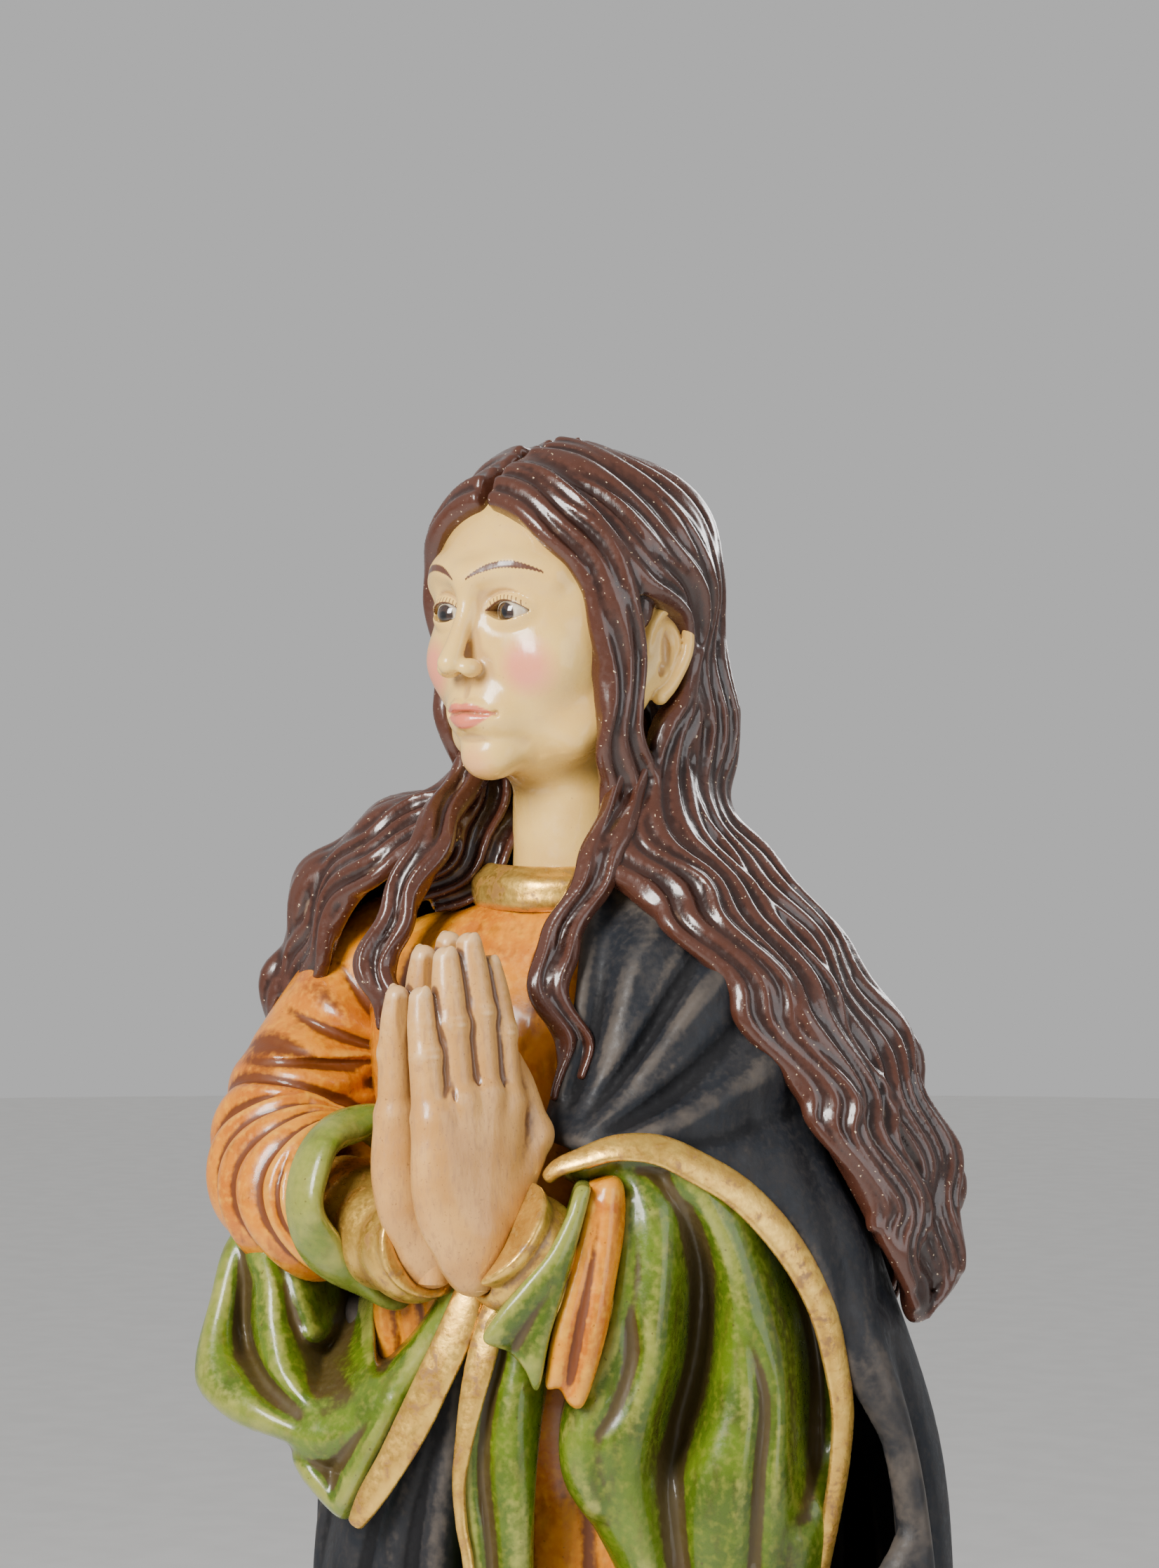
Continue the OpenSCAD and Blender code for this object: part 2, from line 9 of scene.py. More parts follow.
import bpy
import numpy as np
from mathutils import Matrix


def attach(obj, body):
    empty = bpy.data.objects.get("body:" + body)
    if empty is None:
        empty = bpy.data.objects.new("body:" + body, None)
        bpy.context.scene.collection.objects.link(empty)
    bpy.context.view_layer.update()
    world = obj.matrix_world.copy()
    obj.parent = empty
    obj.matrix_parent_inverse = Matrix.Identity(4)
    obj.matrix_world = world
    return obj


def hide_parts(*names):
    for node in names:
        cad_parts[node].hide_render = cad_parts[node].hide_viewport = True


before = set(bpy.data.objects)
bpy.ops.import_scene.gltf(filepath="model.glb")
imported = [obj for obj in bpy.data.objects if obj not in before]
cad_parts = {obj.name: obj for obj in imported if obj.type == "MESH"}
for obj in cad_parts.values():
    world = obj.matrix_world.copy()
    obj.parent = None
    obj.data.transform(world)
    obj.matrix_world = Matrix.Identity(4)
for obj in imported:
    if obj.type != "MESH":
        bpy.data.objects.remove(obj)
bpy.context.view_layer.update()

import openvdb as vdb
from mathutils import Vector

MM = 0.001
FAR = 40.0                      # distance in mm written where no shape is near
VIEW_TURN = math.radians(30)    # the figure is seen from its front left
HEAD_TURN = math.radians(-12)   # the head turns to its right
HANDS_TURN = math.radians(-20)
HANDS_MID = (17.0, -113.0)      # where the palms meet, seen from above
HEEL_Z = 678.0                  # height of the heels of the hands
HAND_OFF = 13.0                 # distance of each hand's middle from the palm plane
REACH = 10.0                    # how far in mm a shape's blend can reach beyond its corners
LEFT, RIGHT = 1, -1             # the figure's own sides, as signs


# ---------------------------------------------------------------- frames of reference

def turned(points, angle):
    p = np.array(points, float)
    c, s = math.cos(angle), math.sin(angle)
    out = p.copy()
    out[..., 0] = c * p[..., 0] - s * p[..., 1]
    out[..., 1] = s * p[..., 0] + c * p[..., 1]
    return out


def seen(points):
    """Points as (right, towards the viewer, up), seen from the figure's front left."""
    p = np.array(points, float)
    p[..., 1] *= -1
    return turned(p, VIEW_TURN)


def as_seen(x, y):
    """The reverse of seen, on plan: how far right and how far towards the viewer."""
    c, s = math.cos(VIEW_TURN), math.sin(VIEW_TURN)
    return c * x + s * y, s * x - c * y


def head(points):
    """Points in the head's own frame: its left, its back, up."""
    return turned(points, HEAD_TURN)


# ---------------------------------------------------------------- curves

def between(a, b, c, d, f):
    """The smooth curve through four points, at share f of the way from b to c."""
    return 0.5 * (2 * b + (c - a) * f + (2 * a - 5 * b + 4 * c - d) * f ** 2
                  + (3 * b - a - 3 * c + d) * f ** 3)


def curve(stations, count):
    """Evenly numbered points on the smooth curve through stations, with any extra columns carried along."""
    p = np.array(stations, float)
    n = len(p)
    t = np.linspace(0, n - 1 - 1e-9, count)
    i = t.astype(int)
    f = (t - i)[:, None]
    return between(*(p[np.clip(i + k, 0, n - 1)] for k in (-1, 0, 1, 2)), f)


def unit(v):
    return v / np.maximum(np.linalg.norm(v, axis=-1, keepdims=True), 1e-9)


# ---------------------------------------------------------------- shapes as signed distances

def smin(a, b, k):
    if k <= 0:
        return np.minimum(a, b)
    h = np.clip(0.5 + 0.5 * (b - a) / k, 0, 1)
    return b + (a - b) * h - k * h * (1 - h)


def egg(centre, radii, turn=0.0):
    """An ellipsoid, turned about the vertical."""
    c, r = np.array(centre, float), np.array(radii, float)
    co, si = math.cos(turn), math.sin(turn)

    def distance(x, y, z):
        x, y, z = x - c[0], y - c[1], z - c[2]
        p = (co * x + si * y) / r[0], (co * y - si * x) / r[1], z / r[2]
        k0 = np.sqrt(sum(q * q for q in p))
        k1 = np.sqrt(sum((q / s) ** 2 for q, s in zip(p, r)))
        return k0 * (k0 - 1) / np.maximum(k1, 1e-6)

    return c - r.max(), c + r.max(), distance


def rope(stations, radius, count=0):
    """A round bar along a curve; radius is one number or one for each station."""
    p = np.array(stations, float)
    r = np.broadcast_to(np.array(radius, float), (len(p),))[:, None]
    p = np.hstack([p, r])
    if count:
        p = curve(p, count)

    def distance(x, y, z):
        best = np.float32(FAR * 3)
        for a, b in zip(p[:-1], p[1:]):
            d = b - a
            t = ((x - a[0]) * d[0] + (y - a[1]) * d[1] + (z - a[2]) * d[2]) / max(d[:3] @ d[:3], 1e-9)
            t = np.clip(t, 0, 1)
            gap = np.sqrt((x - a[0] - t * d[0]) ** 2 + (y - a[1] - t * d[1]) ** 2
                          + (z - a[2] - t * d[2]) ** 2)
            best = np.minimum(best, gap - a[3] - t * d[3])
        return best

    reach = p[:, 3].max()
    return p[:, :3].min(0) - reach, p[:, :3].max(0) + reach, distance


class Field:
    """Signed distances in mm on a block of voxels.

    A shape is (low corner, high corner, distance function).
    """

    def __init__(self, low, high, voxel):
        self.voxel = voxel
        self.first = np.floor(np.array(low, float) / voxel).astype(int)
        self.size = np.ceil(np.array(high, float) / voxel).astype(int) - self.first + 1
        self.d = np.full(self.size, FAR, np.float32)

    def window(self, low, high, reach):
        a = np.floor((np.array(low) - reach) / self.voxel).astype(int) - self.first
        b = np.ceil((np.array(high) + reach) / self.voxel).astype(int) - self.first + 1
        a, b = np.clip(a, 0, self.size), np.clip(b, 0, self.size)
        cut = tuple(slice(i, j) for i, j in zip(a, b))
        axes = [((np.arange(i, j) + f) * self.voxel).astype(np.float32)
                for i, j, f in zip(a, b, self.first)]
        return cut, np.meshgrid(*axes, indexing="ij", sparse=True)

    def add(self, shape, k=0.0):
        cut, axes = self.window(shape[0], shape[1], REACH)
        self.d[cut] = smin(self.d[cut], np.float32(1) * shape[2](*axes), k)

    def cut(self, shape, k=0.0):
        cut, axes = self.window(shape[0], shape[1], REACH)
        self.d[cut] = -smin(-self.d[cut], np.float32(1) * shape[2](*axes), k)

    def keep(self, distance):
        """Keeps what lies where distance is below 0."""
        cut, axes = self.window(self.first * self.voxel, (self.first + self.size) * self.voxel, 0)
        self.d[cut] = -smin(-self.d[cut], -np.float32(1) * distance(*axes), 0)

    def shift(self, low, high, amount):
        """Moves the surface inwards by amount(x, y, z)."""
        cut, axes = self.window(low, high, 0)
        self.d[cut] += amount(*axes).astype(np.float32)

    def add_mesh(self, points, quads):
        """Joins closed meshes, which may run through each other."""
        to_mm = vdb.createLinearTransform(voxelSize=self.voxel)
        level = vdb.FloatGrid.createLevelSetFromPolygons(
            np.ascontiguousarray(points, np.float32), quads=np.ascontiguousarray(quads, np.uint32),
            transform=to_mm, halfWidth=4)
        found = np.empty(self.size, np.float32)
        level.copyToArray(found, ijk=tuple(int(i) for i in self.first))
        self.d = np.minimum(self.d, found)

    def blur(self):
        """Takes the sharpness of the voxels off every edge."""
        self.d = blurred(np.clip(self.d, -8 * self.voxel, 8 * self.voxel), 1, 1)

    def sample(self, values, points):
        """Values at points, read between the voxels."""
        q = points / self.voxel - self.first
        i = np.clip(np.floor(q).astype(int), 0, self.size - 2)
        f = np.clip(q - i, 0, 1)
        out = 0
        for dx in (0, 1):
            for dy in (0, 1):
                for dz in (0, 1):
                    w = (f[:, 0] if dx else 1 - f[:, 0]) * (f[:, 1] if dy else 1 - f[:, 1])
                    w = w * (f[:, 2] if dz else 1 - f[:, 2])
                    out = out + w * values[i[:, 0] + dx, i[:, 1] + dy, i[:, 2] + dz]
        return out

    def mesh(self, relief_span):
        """(points in mm, quads, relief), where relief is above 0 on ridges and below 0 in hollows."""
        edge = 3 * self.voxel
        flat = np.clip(self.d, -edge, edge)
        for axis in range(3):
            for end in (0, -1):
                side = [slice(None)] * 3
                side[axis] = end
                flat[tuple(side)] = edge
        grid = vdb.FloatGrid(edge)
        grid.copyFromArray(flat, ijk=tuple(int(i) for i in self.first), tolerance=1e-6)
        grid.transform = vdb.createLinearTransform(voxelSize=self.voxel)
        points, quads = grid.convertToQuads(0.0)
        wide = max(relief_span, 2 * self.voxel)
        soft = blurred(np.clip(self.d, -2 * wide, 2 * wide), max(1, round(wide / self.voxel)), 2)
        relief = self.sample(soft, points) / (0.25 * wide)
        return points, quads, np.clip(relief, -1, 1)


def blurred(values, amount, passes):
    """Box blur by amount voxels each way, along each axis in turn."""
    for _ in range(passes):
        for axis in range(3):
            total = values.copy()
            for step in range(1, amount + 1):
                for sign in (-1, 1):
                    total += shifted(values, axis, sign * step)
            values = total / (2 * amount + 1)
    return values


def shifted(values, axis, step):
    out = np.empty_like(values)
    here, there, edge = [slice(None)] * 3, [slice(None)] * 3, [slice(None)] * 3
    if step > 0:
        here[axis], there[axis], edge[axis] = slice(step, None), slice(None, -step), slice(0, 1)
        rest = slice(0, step)
    else:
        here[axis], there[axis], edge[axis] = slice(None, step), slice(-step, None), slice(-1, None)
        rest = slice(step, None)
    out[tuple(here)] = values[tuple(there)]
    here[axis] = rest
    out[tuple(here)] = values[tuple(edge)]
    return out


# ---------------------------------------------------------------- closed meshes

def ring_quads(rings, sides):
    """Quads of a tube of rings, with its ends closed by fans folded into quads."""
    j, i = np.meshgrid(np.arange(rings - 1), np.arange(sides), indexing="ij")
    k = (i + 1) % sides
    wall = np.stack([j * sides + i, j * sides + k, (j + 1) * sides + k, (j + 1) * sides + i], -1)
    caps = []
    for base, flip in ((0, True), ((rings - 1) * sides, False)):
        for n in range(1, sides - 1, 2):
            quad = [base, base + n, base + n + 1, base + min(n + 2, sides - 1)]
            caps.append(quad[::-1] if flip else quad)
    return np.vstack([wall.reshape(-1, 4), np.array(caps)])


def tube(path, width, thick, out, sides, ridges=0, depth=0.0, phase=0.0):
    """A flattened bar along path, with lengthwise ridges: width across, thick along the directions out."""
    tangent = unit(np.gradient(path, axis=0))
    across = unit(np.cross(tangent, out))
    up = np.cross(across, tangent)
    a = np.linspace(0, 2 * math.pi, sides, endpoint=False)
    swell = 1 + depth * np.cos(ridges * a + phase)
    w = np.asarray(width, float).reshape(-1, 1, 1)
    t = np.asarray(thick, float).reshape(-1, 1, 1)
    rings = (path[:, None, :] + w * (np.cos(a) * swell)[None, :, None] * across[:, None, :]
             + t * (np.sin(a) * swell)[None, :, None] * up[:, None, :])
    return rings.reshape(-1, 3), ring_quads(len(path), sides)


def slab(grid, thick):
    """A closed sheet of the given thickness about a grid of points."""
    du, dv = np.gradient(grid, axis=0), np.gradient(grid, axis=1)
    normal = unit(np.cross(du, dv))
    m, n = grid.shape[:2]
    faces = grid + normal * thick / 2, grid - normal * thick / 2
    points = np.concatenate([face.reshape(-1, 3) for face in faces])
    i, j = np.meshgrid(np.arange(m - 1), np.arange(n - 1), indexing="ij")
    top = np.stack([i * n + j, (i + 1) * n + j, (i + 1) * n + j + 1, i * n + j + 1], -1).reshape(-1, 4)
    rim = np.concatenate([np.arange(n), np.arange(1, m) * n + n - 1,
                          (m - 1) * n + np.arange(n - 2, -1, -1), np.arange(m - 2, 0, -1) * n])
    after = np.roll(rim, -1)
    wall = np.stack([rim, after, after + m * n, rim + m * n], -1)
    return points, np.vstack([top, top[:, ::-1] + m * n, wall])


def joined(parts):
    points, quads, base = [], [], 0
    for p, q in parts:
        points.append(p)
        quads.append(q + base)
        base += len(p)
    return np.vstack(points), np.vstack(quads)


# ---------------------------------------------------------------- pieces

def piece(name, points, quads, material, nodes, body="figure", **attributes):
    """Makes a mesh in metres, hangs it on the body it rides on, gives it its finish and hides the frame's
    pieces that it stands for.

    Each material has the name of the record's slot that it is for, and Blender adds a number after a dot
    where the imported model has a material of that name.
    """
    mesh = bpy.data.meshes.new(name)
    mesh.vertices.add(len(points))
    mesh.vertices.foreach_set("co", (np.asarray(points, np.float32) * MM).ravel())
    mesh.loops.add(quads.size)
    mesh.loops.foreach_set("vertex_index", quads.astype(np.int32).ravel())
    mesh.polygons.add(len(quads))
    mesh.polygons.foreach_set("loop_start", np.arange(0, quads.size, 4, dtype=np.int32))
    mesh.polygons.foreach_set("use_smooth", np.ones(len(quads), bool))
    mesh.update(calc_edges=True)
    mesh.validate()
    for key, values in attributes.items():
        layer = mesh.attributes.new(key, "FLOAT", "POINT")
        layer.data.foreach_set("value", np.asarray(values, np.float32))
    mesh.materials.append(material)
    thing = bpy.data.objects.new(name, mesh)
    bpy.context.scene.collection.objects.link(thing)
    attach(thing, body)
    if nodes:
        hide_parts(*nodes)


def carve(name, field, material, nodes, span=3.0):
    """Makes a piece of the figure from a field; span is how wide in mm the hollows are that take dirt and
    painted shade.
    """
    points, quads, relief = field.mesh(span)
    piece(name, points, quads[:, ::-1], material, nodes, relief=relief)


# ---------------------------------------------------------------- materials

class Paint:
    """A node material put together step by step. Colours are linear RGB."""

    def __init__(self, name, rough, coat=0.0, metal=0.0, shine=0.5):
        self.material = bpy.data.materials.new(name)
        self.material.use_nodes = True
        self.tree = self.material.node_tree
        self.shader = self.tree.nodes["Principled BSDF"]
        self.shader.inputs["Roughness"].default_value = rough
        self.shader.inputs["Coat Weight"].default_value = coat
        self.shader.inputs["Coat Roughness"].default_value = 0.12
        self.shader.inputs["Metallic"].default_value = metal
        self.shader.inputs["Specular IOR Level"].default_value = shine
        self.place = self.tree.nodes.new("ShaderNodeTexCoord").outputs["Object"]
        self.height = None

    def put(self, socket, value):
        if isinstance(value, bpy.types.NodeSocket):
            self.tree.links.new(value, socket)
        elif isinstance(value, tuple) and socket.type == "RGBA":
            socket.default_value = (*value[:3], 1)
        else:
            socket.default_value = value

    def stretched(self, stretch):
        node = self.tree.nodes.new("ShaderNodeMapping")
        self.put(node.inputs["Vector"], self.place)
        node.inputs["Scale"].default_value = stretch
        return node.outputs["Vector"]

    def noise(self, size, detail=3.0, stretch=None, twist=0.0):
        """Noise with patches about size mm across."""
        node = self.tree.nodes.new("ShaderNodeTexNoise")
        self.put(node.inputs["Vector"], self.stretched(stretch) if stretch else self.place)
        node.inputs["Scale"].default_value = 1 / (size * MM)
        node.inputs["Detail"].default_value = detail
        node.inputs["Distortion"].default_value = twist
        return node.outputs["Fac"]

    def mark(self, name):
        node = self.tree.nodes.new("ShaderNodeAttribute")
        node.attribute_name = name
        return node.outputs["Fac"]

    def ramp(self, value, low, high, out=(0.0, 1.0)):
        node = self.tree.nodes.new("ShaderNodeMapRange")
        node.interpolation_type = "SMOOTHSTEP"
        self.put(node.inputs["Value"], value)
        for key, number in zip(("From Min", "From Max", "To Min", "To Max"), (low, high, *out)):
            node.inputs[key].default_value = number
        return node.outputs["Result"]

    def sum(self, kind, a, b):
        node = self.tree.nodes.new("ShaderNodeMath")
        node.operation = kind
        self.put(node.inputs[0], a)
        self.put(node.inputs[1], b)
        return node.outputs[0]

    def mix(self, factor, a, b, blend="MIX"):
        node = self.tree.nodes.new("ShaderNodeMix")
        node.data_type = "RGBA"
        node.blend_type = blend
        self.put(node.inputs["Factor"], factor)
        self.put(node.inputs["A"], a)
        self.put(node.inputs["B"], b)
        return node.outputs["Result"]

    def ragged(self, relief, fine, share):
        """Relief with a share of fine noise, so that what follows it has no smooth edge."""
        return self.sum("ADD", relief, self.sum("MULTIPLY", self.sum("SUBTRACT", fine, 0.5), share))

    def bump(self, height, depth):
        """Adds height, from 0 to 1, as relief depth mm deep."""
        node = self.tree.nodes.new("ShaderNodeBump")
        node.inputs["Strength"].default_value = 1.0
        node.inputs["Distance"].default_value = depth * MM
        self.put(node.inputs["Height"], height)
        if self.height:
            self.put(node.inputs["Normal"], self.height)
        self.height = node.outputs["Normal"]

    def done(self, colour, rough=None):
        self.put(self.shader.inputs["Base Color"], colour)
        if rough:
            self.put(self.shader.inputs["Roughness"], rough)
        if self.height:
            self.put(self.shader.inputs["Normal"], self.height)
        return self.material


PATCH = 22      # size in mm of the patches of one shade


def painted_wood(name, shades, hollow, worn, rough, coat, dirt_and_shade=0.8, wear_and_highlight=0.4, strokes=0.12,
                 grain=(1, 1, 0.35), speck=0.0, shine=0.3):
    """Oil paint on gesso in patches of two shades, brush marks, dirt and painted shade in hollows, wear and
    painted highlight on ridges.
    """
    p = Paint(name, rough[0], coat, shine=shine)
    relief = p.mark("relief")
    broad = p.noise(PATCH, 4.0, twist=0.4)
    fine = p.noise(PATCH / 7, 5.0)
    streak = p.noise(5, 4.0, stretch=grain)
    base = p.mix(p.ramp(broad, 0.35, 0.65), shades[0], shades[1])
    base = p.mix(p.ramp(fine, 0.45, 0.75, (0, 0.5)), base, shades[2])
    base = p.mix(p.ramp(streak, 0.5, 0.72, (0, 0.35)), base, hollow)
    depth = p.ragged(relief, fine, 0.6)
    # darker, towards the hollow colour, in the hollows: dirt, and painted shade where folds and recesses
    # fall into shadow
    base = p.mix(p.ramp(depth, 0.06, -0.45, (0, dirt_and_shade)), base, hollow)
    # lighter worn colour on the ridges, in patches: wear, and painted highlight where the ridges catch the
    # light
    edge = p.sum("MULTIPLY", p.ramp(depth, 0.5, 1.0, (0, wear_and_highlight)), p.ramp(broad, 0.36, 0.6, (0.25, 1)))
    base = p.mix(edge, base, worn)
    if speck:
        spots = p.ramp(p.noise(2.2, 2.0), 0.70, 0.76, (0, speck))
        base = p.mix(spots, base, hollow)
    p.bump(streak, strokes)
    p.bump(fine, strokes * 0.8)
    p.bump(p.noise(0.9, 2.0), 0.02)
    gloss = p.sum("ADD", p.ramp(fine, 0.3, 0.7, rough), p.ramp(depth, -0.1, -0.6, (0, 0.25)))
    return p.done(base, gloss)


def flesh():
    """Ivory oil flesh, polished, with painted cheeks, lips, brows and lashes, and painted shade in the
    hollows.
    """
    p = Paint("flesh_paint", 0.24, 0.35, shine=0.4)
    relief = p.mark("relief")
    broad = p.noise(30, 3.0)
    fine = p.noise(4, 5.0)
    base = p.mix(p.ramp(broad, 0.3, 0.7), (0.74, 0.48, 0.135), (0.65, 0.39, 0.10))
    base = p.mix(p.ramp(fine, 0.5, 0.75, (0, 0.35)), base, (0.60, 0.38, 0.15))
    base = p.mix(p.mark("blush"), base, (0.72, 0.20, 0.14))
    base = p.mix(p.mark("lips"), base, (0.58, 0.09, 0.07))
    # darker brown in the hollows of the face: painted shade
    base = p.mix(p.ramp(relief, -0.12, -0.6, (0, 0.55)), base, (0.36, 0.19, 0.08))
    speck = p.ramp(p.noise(1.6, 2.0), 0.72, 0.78, (0, 0.5))
    base = p.mix(speck, base, (0.30, 0.16, 0.07))
    base = p.mix(p.mark("line"), base, (0.085, 0.03, 0.015))
    p.bump(fine, 0.07)
    p.bump(p.noise(1.1, 2.0, stretch=(1, 1, 0.4)), 0.03)
    return p.done(base, p.ramp(fine, 0.3, 0.7, (0.2, 0.36)))


def hand_flesh():
    """Thin tan flesh over wood that shows its slanting grain and dirt, with painted shade in the hollows
    and painted highlight on the ridges.
    """
    p = Paint("hand_paint", 0.3, 0.2, shine=0.35)
    relief = p.mark("relief")
    broad = p.noise(18, 3.0)
    grain = p.noise(1.6, 4.0, stretch=(1.0, 1.0, 0.28))
    fine = p.noise(2.4, 5.0)
    base = p.mix(p.ramp(broad, 0.3, 0.7), (0.55, 0.29, 0.085), (0.45, 0.215, 0.055))
    base = p.mix(p.ramp(grain, 0.5, 0.7, (0, 0.6)), base, (0.36, 0.18, 0.07))
    base = p.mix(p.ramp(p.noise(1.1, 2.0), 0.64, 0.74, (0, 0.6)), base, (0.17, 0.075, 0.03))
    depth = p.ragged(relief, fine, 0.5)
    # darker in the hollows: dirt and painted shade
    base = p.mix(p.ramp(depth, -0.05, -0.5, (0, 0.9)), base, (0.10, 0.04, 0.018))
    # paler on the ridges: painted highlight
    base = p.mix(p.ramp(depth, 0.4, 0.85, (0, 0.4)), base, (0.72, 0.50, 0.26))
    p.bump(grain, 0.10)
    p.bump(fine, 0.10)
    return p.done(base, p.ramp(grain, 0.3, 0.7, (0.26, 0.45)))


def hair_brown():
    """Glossy chocolate varnish, reddish on the ridges from wear and as painted highlight, with dust in the
    grooves and chips of gesso.
    """
    p = Paint("hair_paint", 0.22, 0.55, shine=0.3)
    relief = p.mark("relief")
    broad = p.noise(16, 4.0)
    fine = p.noise(3, 5.0)
    base = p.mix(p.ramp(broad, 0.3, 0.7), (0.016, 0.005, 0.003), (0.030, 0.010, 0.006))
    depth = p.ragged(relief, fine, 0.7)
    # reddish on the ridges: wear, and painted highlight where the locks catch the light
    base = p.mix(p.ramp(depth, 0.3, 0.85, (0, 0.6)), base, (0.080, 0.026, 0.014))
    dust = p.sum("MULTIPLY", p.ramp(depth, -0.2, -0.6), p.ramp(broad, 0.42, 0.62, (0.05, 0.75)))
    base = p.mix(dust, base, (0.17, 0.105, 0.065))
    chips = p.sum("MULTIPLY", p.ramp(p.noise(1.5, 2.0), 0.70, 0.74), p.ramp(relief, 0.2, 0.5))
    base = p.mix(chips, base, (0.62, 0.47, 0.30))
    p.bump(p.noise(2.2, 3.0, stretch=(1, 1, 0.3)), 0.16)
    p.bump(fine, 0.10)
    gloss = p.sum("ADD", p.ramp(fine, 0.3, 0.7, (0.2, 0.42)), p.sum("MULTIPLY", dust, 0.4))
    return p.done(base, gloss)


def gilt():
    """Worn gold leaf over red-brown clay, darker in the hollows with dirt and painted shade."""
    p = Paint("gilding", 0.32, 0.15)
    relief = p.mark("relief")
    broad = p.noise(9, 4.0, twist=0.6)
    fine = p.noise(2.0, 5.0)
    base = p.mix(p.ramp(broad, 0.3, 0.7), (0.72, 0.45, 0.09), (0.52, 0.28, 0.045))
    worn = p.ramp(p.sum("ADD", broad, p.sum("MULTIPLY", fine, 0.5)), 0.78, 0.95)
    # darker brown in the hollows: dirt and painted shade
    dirt_and_shade = p.ramp(p.sum("ADD", relief, p.sum("SUBTRACT", fine, 0.5)), 0.0, -0.5)
    wear_dirt_and_shade = p.sum("MAXIMUM", p.sum("MULTIPLY", worn, 0.75), p.sum("MULTIPLY", dirt_and_shade, 0.85))
    base = p.mix(wear_dirt_and_shade, base, (0.15, 0.065, 0.02))
    p.put(p.shader.inputs["Metallic"], p.ramp(wear_dirt_and_shade, 0.0, 0.8, (0.75, 0.0)))
    p.bump(fine, 0.10)
    p.bump(broad, 0.30)
    return p.done(base, p.ramp(fine, 0.3, 0.7, (0.26, 0.48)))


def glass_eye():
    """A dark brown iris and black pupil under clear gloss, with the white round them."""
    p = Paint("eye_glass", 0.04, 1.0)
    white = p.mix(p.ramp(p.noise(2.5, 3.0), 0.4, 0.7), (0.62, 0.55, 0.42), (0.50, 0.40, 0.27))
    iris = p.mix(p.ramp(p.noise(0.7, 3.0), 0.3, 0.7), (0.012, 0.008, 0.008), (0.045, 0.024, 0.016))
    base = p.mix(p.mark("iris"), white, iris)
    base = p.mix(p.mark("pupil"), base, (0.003, 0.003, 0.004))
    return p.done(base)


def bare_wood():
    """Limewood as the chisel left it, with long grain."""
    light, dark, rough = (0.42, 0.25, 0.12), (0.27, 0.145, 0.06), 0.6
    p = Paint("bare_wood", rough)
    grain = p.noise(2.5, 5.0, stretch=(1, 1, 0.12))
    base = p.mix(p.ramp(grain, 0.3, 0.7), light, dark)
    base = p.mix(p.ramp(p.noise(14, 3.0), 0.4, 0.7, (0, 0.4)), base, dark)
    p.bump(grain, 0.15)
    return p.done(base, p.ramp(grain, 0.3, 0.7, (rough - 0.1, rough + 0.1)))


def turned_metal(name, colour, dull):
    """Screw metal with turning marks."""
    rough = 0.35
    p = Paint(name, rough, metal=1.0)
    scratch = p.noise(0.6, 4.0, stretch=(1, 1, 0.2))
    base = p.mix(p.ramp(scratch, 0.35, 0.7), colour, dull)
    p.bump(scratch, 0.02)
    return p.done(base, p.ramp(scratch, 0.3, 0.7, (rough, rough + 0.2)))


def putty():
    """Wax and chalk putty, pressed in by hand."""
    p = Paint("eye_putty", 0.8)
    lumps = p.noise(1.5, 4.0)
    p.bump(lumps, 0.2)
    return p.done(p.mix(p.ramp(lumps, 0.3, 0.7), (0.62, 0.52, 0.34), (0.48, 0.37, 0.22)))


def tunic_orange():
    shades = [(0.60, 0.200, 0.001), (0.44, 0.115, 0.001), (0.72, 0.31, 0.004)]
    # the hollow colour also paints dirt and painted shade in the hollows, the worn colour wear and painted
    # highlight on the ridges
    return painted_wood("tunic_paint", shades, (0.10, 0.022, 0.002), (0.82, 0.44, 0.04), (0.2, 0.42), 0.35,
                        dirt_and_shade=0.95, speck=0.5)


def lining_green():
    shades = [(0.085, 0.135, 0.006), (0.050, 0.085, 0.004), (0.19, 0.20, 0.018)]
    # the hollow colour also paints dirt and painted shade in the hollows, the worn colour wear and painted
    # highlight on the ridges
    return painted_wood("lining_paint", shades, (0.050, 0.026, 0.007), (0.36, 0.35, 0.075), (0.2, 0.42),
                        0.35, dirt_and_shade=0.9, wear_and_highlight=0.5, speck=0.6)


def mantle_dark():
    shades = [(0.010, 0.012, 0.016), (0.018, 0.018, 0.020), (0.034, 0.029, 0.026)]
    # the hollow colour also paints dirt and painted shade in the hollows, the worn colour wear and painted
    # highlight on the ridges
    return painted_wood("mantle_paint", shades, (0.004, 0.004, 0.005), (0.105, 0.085, 0.068),
                        (0.40, 0.62), 0.0, dirt_and_shade=0.9, wear_and_highlight=0.5, strokes=0.2, shine=0.2)


def plinth_brown():
    shades = [(0.060, 0.020, 0.010), (0.040, 0.014, 0.008), (0.085, 0.034, 0.016)]
    # the hollow colour also paints dirt and painted shade in the hollows, the worn colour wear and painted
    # highlight on the ridges
    return painted_wood("plinth_paint", shades, (0.016, 0.007, 0.004), (0.17, 0.08, 0.035), (0.3, 0.5), 0.4,
                        grain=(0.2, 1, 1))


FLESH = flesh()
HAND = hand_flesh()
HAIR = hair_brown()
GILT = gilt()
GLASS = glass_eye()
TUNIC = tunic_orange()
LINING = lining_green()
MANTLE = mantle_dark()
PLINTH = plinth_brown()
WOOD = bare_wood()
STEEL = turned_metal("screw_steel", (0.48, 0.47, 0.45), (0.25, 0.23, 0.21))
BRASS = turned_metal("screw_brass", (0.62, 0.42, 0.14), (0.35, 0.21, 0.07))
PUTTY = putty()


# ---------------------------------------------------------------- head

